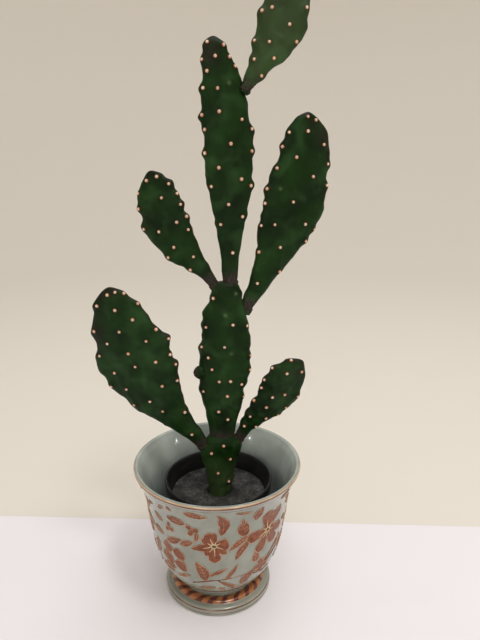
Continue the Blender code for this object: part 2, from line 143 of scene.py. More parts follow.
def mottled(name, size, detail, *stops, **values):
    """A material whose colour wanders along a ramp's stops, in clouds of a size in metres."""
    made, tree, shader = new_material(name)
    place = add(tree, "TexCoord").outputs["Object"]
    link(tree, shader, Base_Color=ramp(tree, clouds(tree, place, size, detail), *stops))
    settle(tree, shader, **values)
    return made


def deselect():
    """Leaves edit mode and clears the selection."""
    if bpy.context.object and bpy.context.object.mode != "OBJECT":
        bpy.ops.object.mode_set(mode="OBJECT")
    bpy.ops.object.select_all(action="DESELECT")


def take(piece):
    """Makes a piece the only one selected, and active."""
    deselect()
    piece.select_set(True)
    bpy.context.view_layer.objects.active = piece


def opened(piece):
    """Opens a piece for editing, with all of it selected."""
    take(piece)
    bpy.ops.object.mode_set(mode="EDIT")
    bpy.ops.mesh.select_all(action="SELECT")


def cut(places, axis):
    """Cuts the open piece right through, across an axis, at places along it."""
    for place in places:
        bpy.ops.mesh.select_all(action="SELECT")
        bpy.ops.mesh.bisect(plane_co=[place * way for way in axis], plane_no=axis)


def smooth(corner):
    """Shades the active piece smooth but for corners sharper than an angle in degrees."""
    bpy.ops.object.shade_smooth_by_angle(angle=math.radians(corner))


def mesh_of(name, points, edges, faces):
    """A new mesh of points in metres."""
    mesh = bpy.data.meshes.new(name)
    mesh.from_pydata(points, edges, faces)
    return mesh


def laid(name, data):
    """A new object in the scene, of a mesh, a curve, a lamp or a camera."""
    made = bpy.data.objects.new(name, data)
    bpy.context.collection.objects.link(made)
    return made


def turned(name, profile, centre, steps):
    """A closed shape spun from (radius, height) points about an upright axis, smooth but for its corners."""
    x, y = centre[0] * MM, centre[1] * MM
    points = [(x + r * MM, y, h * MM) for r, h in profile]
    piece = laid(name, mesh_of(name, points, [(i, i + 1) for i in range(len(points) - 1)], []))
    opened(piece)
    bpy.ops.mesh.spin(steps=steps, angle=2 * math.pi, center=(x, y, 0), axis=(0, 0, 1))
    bpy.ops.mesh.select_all(action="SELECT")
    bpy.ops.mesh.remove_doubles(threshold=0.02 * MM)
    bpy.ops.mesh.normals_make_consistent(inside=False)
    bpy.ops.object.mode_set(mode="OBJECT")
    smooth(40)
    return piece


def through(points, spacing):
    """A smooth line through (radius, height) points, with a point about every spacing."""
    line = []
    for i in range(len(points) - 1):
        p0, p1, p2, p3 = (Vector(points[min(max(k, 0), len(points) - 1)]) for k in (i - 1, i, i + 1, i + 2))
        count = max(1, round((p2 - p1).length / spacing))
        for k in range(count):
            t = k / count
            line.append(tuple(
                0.5 * (2 * p1 + (p2 - p0) * t + (2 * p0 - 5 * p1 + 4 * p2 - p3) * t ** 2
                       + (3 * p1 - p0 - 3 * p2 + p3) * t ** 3)
            ))
    return line + [tuple(points[-1])]


def put(piece, materials, nodes=()):
    """Finishes a piece: its materials, its body and the CAD nodes that it stands for."""
    piece.data.materials.clear()
    for material in materials:
        piece.data.materials.append(material)
    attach(piece, "root")
    if nodes:
        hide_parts(*nodes)


POT_BODY = [(54, 26.5), (58.4, 32), (62.5, 39), (67, 50), (70.3, 61), (73, 73), (75, 87), (77, 100),
            (78.6, 115), (80.5, 126), (84, 137), (88.5, 148), (91.3, 153)]
POT_INSIDE = [(0, 27.5), (40, 27.5), (48, 28.2), (54, 32.5), (58, 39), (62.1, 50.5), (65.3, 62), (67.9, 74),
              (69.8, 87.5), (71.8, 100.5), (73.4, 115.5), (75.4, 127.2), (79, 138.8), (83.4, 149.5),
              (86.2, 154.2)]
POT_LIP = [(86.2, 154.2), (87.3, 155.9), (89.1, 156.7), (90.9, 156.4), (91.8, 154.9), (91.3, 153)]
POT_FOOT = [(54, 26.5), (52.4, 24.2), (49.5, 22.5), (45, 21.4), (42.5, 20.3), (40.8, 18.2), (40.2, 16),
            (40.7, 14.2), (41.7, 12.9), (43.4, 11.7), (44.6, 12.1), (46.6, 12.7), (48.8, 12.7), (50.8, 12.0),
            (52.4, 10.9), (53.4, 9.9), (54.4, 9.4), (56.0, 9.2), (58.2, 8.6), (59.5, 7.5), (60.4, 5.9),
            (60.8, 4), (60.8, 1.6), (60.3, 0.5), (59.3, 0), (0, 0)]

pot_line = through(POT_INSIDE, 2.5)[:-1] + through(POT_LIP, 0.5)[:-1]
pot_line += through(POT_BODY, 2.5)[::-1][:-1] + through(POT_FOOT[:-1], 0.8) + [POT_FOOT[-1]]
cachepot = turned("cachepot_glazed", pot_line, (0, 0), 180)

# Lines are cut round the glaze between two heights and two radii. The first is the lustre on the foot's
# bead, the second the lip's cream crest, and the rest are brown lines: two under the crest, one on the
# body's bottom edge and two on the foot's rim
PAINTED_BANDS = [(9.8, 12.9, 43.6, 53.8), (155.2, 156.4, 90.8, 95), (153.6, 155.2, 90, 95),
                 (150, 150.7, 86.5, 95), (26.0, 27.7, 52.5, 58), (6.4, 7.4, 57, 62), (3.1, 3.9, 60, 62)]
POT_FLOOR = 27
opened(cachepot)
cut([height * MM for band in PAINTED_BANDS for height in band[:2]], (0, 0, 1))
bpy.ops.object.mode_set(mode="OBJECT")

# A thin celadon glaze over porcelain pools a little darker in soft clouds, and is glossy with a faint
# orange-peel waviness, so that its reflections wander. Inside it is bluer, and painted paler than outside
# as painted light on the inside wall
celadons = []
for name, shades in (("celadon_glaze_on_porcelain", ((0.38, "8B8F83"), (0.62, "9DA095"), (0.5, "94978B"))),
                     ("celadon_glaze_inside_painted_paler", ((0.38, "9FA8A1"), (0.62, "B3BBB5"), (0.5, "A9B2AC")))):
    glaze, tree, shader = new_material(name)
    place = add(tree, "TexCoord").outputs["Object"]
    upright = add(tree, "Mapping", {"Vector": place, "Scale": (1, 1, 0.35)}).outputs["Vector"]
    pools, runs = clouds(tree, place, 0.03, 3.0, Roughness=0.6), clouds(tree, upright, 0.018, 2.0)
    tint = ramp(tree, maths(tree, "MULTIPLY", maths(tree, "ADD", pools, runs), 0.5), *shades)
    specks = ramp(tree, clouds(tree, place, 0.0016, 1.0), (0.66, "000000"), (0.74, "FFFFFF"))
    specked = blend(tree, maths(tree, "MULTIPLY", specks, 0.22), tint, linear("858576"))
    peel = clouds(tree, place, 0.006, 1.5)
    link(tree, shader, Base_Color=specked, Normal=relief(tree, peel, 0.06, 0.0006))
    settle(tree, shader, Roughness=0.14, IOR=1.5, Coat_Weight=0.3, Coat_Roughness=0.03)
    celadons.append(glaze)

# Copper lustre is a metal film a hair thick over the glaze. On the foot's bead it was brushed round in
# slanting strokes, dark red-brown where it is thick and bright copper where it is thin
STROKES_ROUND = 23.0
STROKE_SLANT = 60.0
lustre, tree, shader = new_material("copper_lustre_band")
place = add(tree, "TexCoord").outputs["Object"]
turn = add(tree, "TexGradient", {"Vector": place}, gradient_type="RADIAL").outputs["Fac"]
away = add(tree, "VectorMath", {0: place}, operation="LENGTH").outputs["Value"]
slant = maths(tree, "MULTIPLY", away, STROKE_SLANT)
count = maths(tree, "MULTIPLY_ADD", turn, STROKES_ROUND, slant)
stroke = maths(tree, "MULTIPLY_ADD", clouds(tree, place, 0.012, 3.0, Roughness=0.6), 0.8, count)
wave = maths(tree, "SINE", maths(tree, "MULTIPLY", stroke, 2 * math.pi))
tint = ramp(tree, spread(tree, wave, -1.0, 1.0), (0.3, "6A2C13"), (0.6, "BC7644"), (0.42, "98532B"))
ripple = clouds(tree, place, 0.0025, 2.0)
link(tree, shader, Base_Color=tint, Normal=relief(tree, ripple, 0.12, 0.0005))
settle(tree, shader, Metallic=0.15, Roughness=0.2, Coat_Weight=1.0, Coat_Roughness=0.03)

# The rim and the fine lines: a liner brush's thin copper-brown stroke, paler where it ran dry
line_brown = mottled("copper_brown_line", 0.014, 3.0, (0.36, "603523"), (0.66, "865F48"), (0.5, "6F4531"),
                     Metallic=0.15, Roughness=0.22, Coat_Weight=0.4, Coat_Roughness=0.04)
# The lip's crest, where the glaze ran thin over the white body and took a breath of copper
crest_cream = mottled("cream_crest_glaze", 0.02, 3.0, (0.36, "B8977A"), (0.66, "DCC2A4"), (0.5, "C8A888"),
                      Roughness=0.16, IOR=1.5, Coat_Weight=0.4, Coat_Roughness=0.03)

# The first material is the glaze outside, the next three are the painted lines', and the last is the
# inside's, painted paler
put(cachepot, [celadons[0], lustre, crest_cream, line_brown, celadons[1]], ["cachepot"])
for face in cachepot.data.polygons:
    middle = face.center / MM
    radius = math.hypot(middle.x, middle.y)
    if middle.z > POT_FLOOR and face.normal.x * middle.x + face.normal.y * middle.y < 0:
        face.material_index = 4
    for i, (low, high, near, far) in enumerate(PAINTED_BANDS):
        if low < middle.z < high and near < radius < far:
            face.material_index = min(i + 1, 3)

# --- Copper flowers ---------------------------------------------------------------------------------------
# Flowers, leaves and stems laid over the glaze in copper-brown enamel, each outlined with a raised cream
# line and veined. The same spray goes round the bell three times, as a transfer is laid.

SPRAYS = 3
# How far things stand out from the glaze: the fills in layers a step apart, the eyes' cores, a height that
# only the cores reach, and the middle of the raised lines
ENAMEL_LIFT = 0.26
ENAMEL_STEP = 0.035
ENAMEL_LAYERS = 7
CORE_LIFT = 0.78
EYE_ABOVE = 0.68
LINE_LIFT = 0.36
ENAMEL_THICKNESS = 0.6
LINE_RADIUS = 0.41
STEM_LINE_RADIUS = 0.6


def pot_radius(height):
    """The cachepot's outer radius at a height."""
    return float(np.interp(height, pot_heights, pot_radii))


body_line = through(POT_BODY, 1.0)
pot_heights = [h for _, h in body_line]
pot_radii = [r for r, _ in body_line]


def on_pot(bearing, height, lift):
    """A point on the pot, in metres, from its bearing from the front in degrees to the right."""
    radius = (pot_radius(height) + lift) * MM
    angle = math.radians(bearing)
    return Vector((radius * math.sin(angle), -radius * math.cos(angle), height * MM))


def placed(points, bearing, height, turn):
    """Flat motif points in mm, turned and put at a bearing and a height, as (bearing, height) pairs."""
    c, s = math.cos(math.radians(turn)), math.sin(math.radians(turn))
    out = []
    for x, y in points:
        up = height + s * x + c * y
        across = c * x - s * y
        out.append((bearing + math.degrees(across / pot_radius(up)), up))
    return out


def span(a, b):
    """The length in mm and the turn in degrees from one (bearing, height) to another."""
    across = math.radians(b[0] - a[0]) * pot_radius((a[1] + b[1]) / 2)
    return math.hypot(across, b[1] - a[1]), math.degrees(math.atan2(b[1] - a[1], across))


def leaf(a, b, width, bend=0.0, teeth=0.06, fullness=0.85):
    """A toothed leaf from stalk a to tip b, with its outline and its midrib and side veins."""
    length, turn = span(a, b)
    upper, lower, rib = [], [], []
    for k in range(19):
        t = k / 18
        bow = bend * 4 * t * (1 - t)
        half = width / 2 * math.sin(math.pi * t ** fullness) ** 0.8 * (1 + teeth * math.cos(9 * math.pi * t))
        upper.append((length * t, bow + half))
        lower.append((length * t, bow - half))
        rib.append((length * t, bow))
    veins = [rib[2:16]]
    if width > 6:
        for k in (4, 7, 10, 13):
            reach = 0.36 * (upper[k][1] - rib[k][1]) * 2
            for side in (1, -1):
                veins.append([rib[k], (rib[k][0] + 0.6 * reach, rib[k][1] + side * 0.72 * reach)])
    outline = upper + lower[-2:0:-1]
    return (placed(outline, *a, turn), [placed(vein, *a, turn) for vein in veins])


def flower(centre, petals, least):
    """A whole flower as one outline, from petals of (turn, reach, half angle, notch) merged at the middle."""
    outline = []
    for degrees in range(0, 360, 5):
        reach = least
        for turn, length, half, notch in petals:
            gap = abs((degrees - turn + 180) % 360 - 180) / half
            if gap < 1:
                blunt = (1 - gap ** 2.4) ** 0.5 if notch >= 0 else (1 - gap) ** 0.75
                lobes = 1 + 0.03 * math.cos(9.4 * gap)
                dip = max(notch, 0) * math.exp(-(gap / 0.3) ** 2)
                reach = max(reach, length * (blunt * lobes - dip))
        angle = math.radians(degrees)
        outline.append((reach * math.cos(angle), reach * math.sin(angle)))
    return placed(outline, *centre, 0), []


def pebble(a, b, width):
    """A small blunt oval bloom from one (bearing, height) to another."""
    length, turn = span(a, b)
    outline = []
    for k in range(22):
        angle = 2 * math.pi * k / 22
        swell = 1 + 0.05 * math.cos(3 * angle + a[0]) + 0.03 * math.cos(5 * angle)
        outline.append((length / 2 * (1 + swell * math.cos(angle)), width / 2 * swell * math.sin(angle)))
    return placed(outline, *a, turn), []


def half_moon(a, b, width):
    """A bud seen from the side: full on one side, notched on the other, with a curved vein."""
    length, turn = span(a, b)
    full, straight, vein = [], [], []
    for k in range(21):
        t = k / 20
        full.append((length * t, width * math.sin(math.pi * t) ** 0.72 * (1 + 0.03 * math.cos(11 * t))))
        straight.append((length * t, 0.07 * width * math.cos(5 * math.pi * t)))
        if 2 < k < 18:
            vein.append((length * t, 0.46 * width * math.sin(math.pi * t) ** 0.8))
    return placed(full + straight[-2:0:-1], *a, turn), [placed(vein, *a, turn)]


fills, lines, stars, stems, cores = [], [], [], [], []


def lay(*motifs):
    """Lays motifs: each one's fill, and a cream line round it and along its veins."""
    for outline, veins in motifs:
        fills.append(outline)
        lines.append((outline + outline[:1], 1.0, 1.0))
        lines.extend((vein, 0.7, 0.5) for vein in veins)


def each(shape, *rows):
    """Lays one shape for every row: its two (bearing, height) ends in one, and then its other measures."""
    lay(*(shape(row[:2], row[2:4], *row[4:]) for row in rows))


def stamens(centre, ring, rays):
    """A flower's dark eye in a thick cream ring, with tapering cream stamens of given turn and reach."""
    circle = [(ring * math.cos(k * math.pi / 6), 0.8 * ring * math.sin(k * math.pi / 6)) for k in range(12)]
    stars.append((placed(circle + circle[:1], *centre, 0), 1.7, 1.7))
    cores.append(placed([(0.8 * x, 0.8 * y) for x, y in circle], *centre, 0))
    for turn, reach in rays:
        stars.append((placed([(ring, 0), (0.6 * reach, 0.25), (reach, 0)], *centre, turn), 1.9, 0.7))


# The two big flowers, with their stamens
lay(flower((-3, 103), ((107, 18, 42, 0.05), (12, 16.5, 46, 0.12), (-88, 22.5, 31, 0.05), (194, 24, 35, -1),
                       (146, 15, 26, 0), (234, 15.5, 24, 0), (-40, 16, 25, 0)), 7),
    flower((41, 108), ((50, 28, 20, 0), (-14, 25, 22, 0), (96, 25.5, 33, 0.05), (-58, 26, 27, 0.04),
                       (-112, 28, 24, 0.04), (186, 26, 29, 0.03)), 8))
stamens((-3, 103), 2.7, ((-88, 13.5), (197, 11), (-24, 10), (112, 10.5), (28, 7.5), (68, 7), (152, 7.5),
                         (238, 9)))
stamens((41, 108), 2.7, ((98, 12), (40, 10), (205, 12), (238, 10), (-60, 9), (-20, 9), (150, 8), (-95, 9)))

# The half-moon bud, the crowned bud and the pair of leaves between the flowers
lay(half_moon((1.5, 116), (-0.5, 145), -11), pebble((20, 111.5), (18, 130), 13),
    leaf((18.6, 127), (17.2, 135), 5, teeth=0))
lines += [([(16, 121), (14.5, 124.5), (16.6, 126.5), (18.2, 124), (17, 121.5)], 0.9, 0.7),
          ([(20, 117), (22.5, 120), (21, 124), (19.3, 121)], 0.9, 0.7)]
each(leaf, (22.5, 110, 8.5, 95.5, 6.6, -1.0), (24, 103.5, 14, 82, 8, -1.6))

# The leaves along the rim and down the left
each(leaf, (-23, 144.5, -7, 142, 7.4, -0.5, 0.09, 0.75), (-24, 127, -40, 128.5, 9.4, -0.6, 0.09),
     (-46, 137, -40, 142, 4.6), (-36, 146, -33, 141, 3.6), (-60, 133, -54, 134, 4.0),
     (-55, 124, -46, 118, 5.0), (-58, 105, -47, 101, 6.0), (-16, 117.5, -17.5, 106.5, 5, 1.1),
     (-44, 96, -29, 104.5, 8.0, -0.7), (-30, 98, -18.5, 105, 7, 0.5),
     (27.5, 129, 31.6, 145, 10.5, 0.9, 0.12), (11.5, 146, 23, 142.8, 2.6, 0, 0),
     (49, 142, 56.5, 148.5, 4.4))

# The two small three-lobed flowers
for centre, reach, first in (((-39, 114.5), 6.2, 100), ((-19.5, 120.5), 7.6, 130)):
    lay(flower(centre, [(first + turn, reach, 44, 0) for turn in (0, 120, 240)], 0.45 * reach))
    hook = [(1.6 * math.cos(k * 0.9), 1.6 * math.sin(k * 0.9)) for k in range(6)]
    lines.append((placed(hook, *centre, 0), 1, 1))

# The cluster of small round blooms on the left, one of them dotted
each(pebble, (-48.8, 90.5, -39.5, 83, 10.2), (-37.2, 88.5, -28.8, 77, 12.6), (-50.5, 78.5, -41, 66.5, 13),
     (-36.8, 73, -28, 61.5, 13.4), (-57.5, 54.5, -44, 51.5, 8), (-59, 86.5, -59, 68.5, 7),
     (-50.5, 64, -41, 58, 9.5))
for bearing, height in ((-49, 75), (-46.5, 73.5), (-44, 71.5), (-42.5, 69.5), (-48, 71.5), (-45.5, 69.5),
                        (-46.5, 76)):
    lines.append(([(bearing, height), (bearing + 0.5, height)], 1.5, 1.5))
each(leaf, (-40, 49, -24.5, 56.5, 4.2, 0, 0.14))

# The foot of the spray: its big leaves, the half-open bloom and the stems that join them
each(leaf, (-11, 53, -18.5, 79, 12.4, -2.6, 0.06, 0.8), (-8, 60.5, 7.5, 71, 4.4, 0.5),
     (5.5, 54, 16.2, 75.5, 4.6, -0.8), (21, 41, 32.5, 59.5, 9.4, 1.0), (3, 50.5, 19, 36.5, 3.6, 0, 0),
     (-17.5, 39, -2.5, 41, 4, 0, 0.14), (0, 39, 6.5, 38, 2.6), (32.6, 71, 31, 85, 9, 0, 0.1, 0.7))
lay(flower((40.5, 61), [(turn, 11, 34, 0.06) for turn in (118, 42, -28, -100, 182)], 6))
lines += [(placed([(2, 0), (5, 0)], 40.5, 61, turn), 0.9, 0.5) for turn in range(10, 370, 60)]
stems += [
    [(-24, 45), (-15, 49.5), (-7, 53), (6, 54.8), (19, 56), (28, 56.2), (34, 55.5)],
    [(0, 53.5), (5, 46), (10, 41), (15, 36)],
    [(44, 63), (47, 69), (52, 76), (58, 82)],
    [(46, 60), (52, 67), (58, 72)],
    [(33, 52), (44, 48), (54, 49)],
    [(23.5, 103.5), (27.5, 106)],
]

# Enamel: each fill is a flat face, sliced finely, wrapped round the pot and given its thickness. Fills that
# overlap lie at slightly different heights, and all run the same way round
corners, faces = [], []
lifts = [ENAMEL_LIFT + ENAMEL_STEP * (i % ENAMEL_LAYERS) for i in range(len(fills))]
lifts += [CORE_LIFT] * len(cores)
for outline, lift in zip(fills + cores, lifts):
    area = sum(a[0] * b[1] - b[0] * a[1] for a, b in zip(outline, outline[1:] + outline[:1]))
    face = list(range(len(corners), len(corners) + len(outline)))
    faces.append(face if area > 0 else face[::-1])
    corners.extend((bearing, height, lift) for bearing, height in outline)
flowers = laid("copper_flowers", mesh_of("copper_flowers", corners, [], faces))
opened(flowers)
cut(range(-62, 72, 2), (1, 0, 0))
cut(range(36, 150, 5), (0, 1, 0))
bpy.ops.mesh.select_all(action="SELECT")
bpy.ops.mesh.quads_convert_to_tris(ngon_method="BEAUTY")
bpy.ops.object.mode_set(mode="OBJECT")
flat = [tuple(v.co) for v in flowers.data.vertices]
triangles = [tuple(f.vertices) for f in flowers.data.polygons]
wrapped, order = [], []
for k in range(SPRAYS):
    wrapped += [on_pot(b + 360 * k / SPRAYS, h, lift) for b, h, lift in flat]
    order += [tuple(i + k * len(flat) for i in face) for face in triangles]
flowers.data = mesh_of("copper_flowers", wrapped, [], order)
opened(flowers)
bpy.ops.mesh.remove_doubles(threshold=0.001 * MM)
bpy.ops.object.mode_set(mode="OBJECT")
thick = flowers.modifiers.new("Enamel", "SOLIDIFY")
thick.thickness = ENAMEL_THICKNESS * MM
thick.offset = -1
bpy.ops.object.modifier_apply(modifier="Enamel")
smooth(40)


def beads(name, runs, radius):
    """Raised lines on the pot, once for each spray, from (points, thickness at the start, at the end)."""
    curve = bpy.data.curves.new(name, "CURVE")
    curve.dimensions = "3D"
    curve.bevel_depth = radius * MM
    curve.bevel_resolution = 0
    curve.use_fill_caps = True
    for k in range(SPRAYS):
        for run, first, last in runs:
            closed = run[0] == run[-1] and len(run) > 3
            points = run[:-1] if closed else run
            spline = curve.splines.new("POLY")
            spline.points.add(len(points) - 1)
            for i, (bearing, height) in enumerate(points):
                spline.points[i].co = (*on_pot(bearing + 360 * k / SPRAYS, height, LINE_LIFT), 1)
                spline.points[i].radius = first + (last - first) * i / (len(points) - 1)
            spline.use_cyclic_u = closed
    take(laid(name, curve))
    bpy.ops.object.convert(target="MESH")
    smooth(60)
    return bpy.context.object


outlines = beads("cream_outlines", lines, LINE_RADIUS)
stamen_stars = beads("cream_stamens", stars, LINE_RADIUS)
stem_lines = beads("copper_stems", [(stem, 1.0, 0.8) for stem in stems], STEM_LINE_RADIUS)

# A ground-glass enamel coloured with copper and iron: brushed on unevenly, so it clouds from red-brown to
# tan within each petal, and fires to a soft gloss
enamel, tree, shader = new_material("copper_brown_enamel")
place = add(tree, "TexCoord").outputs["Object"]
wash = clouds(tree, place, 0.0045, 4.0, Roughness=0.65)
tint = ramp(tree, wash, (0.33, "642A0B"), (0.68, "9A572C"), (0.5, "80401A"))
link(tree, shader, Base_Color=tint, Normal=relief(tree, wash, 0.25, 0.0003))
settle(tree, shader, Roughness=0.38, Metallic=0.12, IOR=1.5, Coat_Weight=0.1, Coat_Roughness=0.15)
# Cream enamel trailed on thick, tinted by the copper that it bled into
cream = mottled("cream_line_enamel", 0.007, 2.0, (0.38, "A57657"), (0.6, "C7A283"),
                Roughness=0.3, IOR=1.52, Coat_Weight=0.2, Coat_Roughness=0.1)
# The stamens: the same cream laid thicker, so that less copper shows through
pale = mottled("pale_cream_enamel", 0.004, 2.0, (0.38, "C8AA84"), (0.6, "E0C8A4"),
               Roughness=0.28, IOR=1.52, Coat_Weight=0.2, Coat_Roughness=0.1)
# The flowers' eyes: iron-dark enamel, pooled thick inside the cream rings
eye = mottled("dark_olive_enamel", 0.002, 2.0, (0.35, "3A3020"), (0.65, "5E5236"), Roughness=0.25, IOR=1.52)

put(flowers, [enamel, eye])
for face in flowers.data.polygons:
    middle = face.center / MM
    above = math.hypot(middle.x, middle.y) - pot_radius(middle.z)
    face.material_index = 1 if above > EYE_ABOVE else 0
put(outlines, [cream])
put(stamen_stars, [pale])
put(stem_lines, [enamel])

# --- Plant pot --------------------------------------------------------------------------------------------
# A standard 12 cm plant pot, injection-moulded in black polypropylene: a tapering wall that steps out to a
# rim band, standing loose on the cachepot's floor.

PLANT_CENTRE = (1.0, 4.0)
PLANT_POT = [(0, 30.3), (39.6, 30.3), (40.1, 31), (54.0, 119), (54.7, 121.8), (55.6, 124.4), (56.5, 128),
             (57.2, 131.6), (57.8, 132.7), (58.7, 133.1), (59.5, 132.8), (60, 131.8), (59.3, 122.4),
             (58.9, 121.8), (56.3, 121.6), (55.8, 120.8), (41.3, 29.4), (40, 27.8), (0, 27.8)]
plant_pot = turned("plant_pot_moulded", PLANT_POT, PLANT_CENTRE, 120)
take(plant_pot)
soften = plant_pot.modifiers.new("Edges", "BEVEL")
soften.width = 0.25 * MM
soften.segments = 2
soften.angle_limit = math.radians(35)
bpy.ops.object.modifier_apply(modifier="Edges")
smooth(40)

# The mould's spark finish leaves a fine even grain, scuffed a little greyer where pots were stacked
black, tree, shader = new_material("black_moulded_polypropylene")
place = add(tree, "TexCoord").outputs["Object"]
scuffs = clouds(tree, place, 0.02, 5.0, Roughness=0.7)
tint = ramp(tree, scuffs, (0.4, "0B0B0B"), (0.7, "161617"))
grain = relief(tree, clouds(tree, place, 0.0008, 2.0), 0.2, 0.0002)
link(tree, shader, Base_Color=tint, Roughness=spread(tree, scuffs, 0.3, 0.7, 0.38, 0.55), Normal=grain)
settle(tree, shader, IOR=1.49)
put(plant_pot, [black], ["nursery_pot"])

# --- Fill -------------------------------------------------------------------------------------------------
# Dark grit bound with resin, poured level round the stem. It has shrunk back into a shallow ring where the
# stem goes in, and its top is rough with sand-sized grains.

FILL_TOP = 113.0
FILL_EDGE = 52.4
FILL_SHOWN = 4.0
HOLE_CENTRE = (2.7, 9.0)
HOLE_RADIUS = 14.3
HOLE_SINK = 2.6
deselect()
bpy.ops.mesh.primitive_grid_add(x_subdivisions=190, y_subdivisions=190, size=2)
fill = bpy.context.object
fill.name = fill.data.name = "grit_fill_top"
for v in fill.data.vertices:
    # The grid's square becomes a disc, and then its grains are raised
    x, y = v.co.x, v.co.y
    disc_x, disc_y = x * math.sqrt(1 - y * y / 2), y * math.sqrt(1 - x * x / 2)
    x, y = PLANT_CENTRE[0] + FILL_EDGE * disc_x, PLANT_CENTRE[1] + FILL_EDGE * disc_y
    spot = Vector((x, y, 0))
    grains = 0.30 * noise.noise(spot * 0.75) + 0.22 * noise.noise(spot * 1.7 + Vector((9, 4, 2)))
    swell = 0.5 * noise.noise(spot * 0.07 + Vector((3, 1, 7)))
    edge = math.hypot(x - PLANT_CENTRE[0], y - PLANT_CENTRE[1]) / FILL_EDGE
    from_stem = math.hypot(x - HOLE_CENTRE[0], y - HOLE_CENTRE[1])
    ring = -HOLE_SINK / (1 + math.exp((from_stem - HOLE_RADIUS) / 0.4))
    meet = 0.9 * math.exp(-((1 - edge) / 0.03) ** 2)
    v.co = (x * MM, y * MM, (FILL_TOP - 0.45 + grains + swell + ring + meet) * MM)
opened(fill)
bpy.ops.mesh.extrude_region_move(TRANSFORM_OT_translate={"value": (0, 0, -FILL_SHOWN * MM)})
bpy.ops.mesh.select_all(action="SELECT")
bpy.ops.mesh.normals_make_consistent(inside=False)
bpy.ops.object.mode_set(mode="OBJECT")
smooth(60)

# Crushed slate and sand in black resin: grains a millimetre or so across, from near black to mid grey
grit, tree, shader = new_material("resin_bound_grit")
place = add(tree, "TexCoord").outputs["Object"]
grains = add(tree, "TexVoronoi", {"Vector": place, "Scale": 1 / 0.0014, "Randomness": 1.0})
shades = ramp(tree, grains.outputs["Color"], (0.15, "2B2B29"), (0.9, "5E5D5A"), (0.55, "434340"))
darker = ramp(tree, clouds(tree, place, 0.012, 4.0), (0.35, "6E6E6E"), (0.65, "FFFFFF"))
link(tree, shader, Base_Color=blend(tree, 1.0, shades, darker, blend_type="MULTIPLY"),
     Normal=relief(tree, grains.outputs["Distance"], 0.6, 0.0006))
settle(tree, shader, Roughness=0.85)
put(fill, [grit], ["pot_fill"])

# --- Trunk and pads ---------------------------------------------------------------------------------------
# Moulded soft-vinyl cactus skin over a stiff core. The trunk stands in the fill, and every pad plugs by a
# corky brown neck into a collar on the piece below. Faces are softly lumpy and edges scalloped at each dot.

STEM_RADIUS = 13.2
WIDTH_STEP = 8


def rows(first, *widths):
    """(distance along, half width) points, at even steps from a first distance."""
    return [(first + WIDTH_STEP * i, width) for i, width in enumerate(widths)]


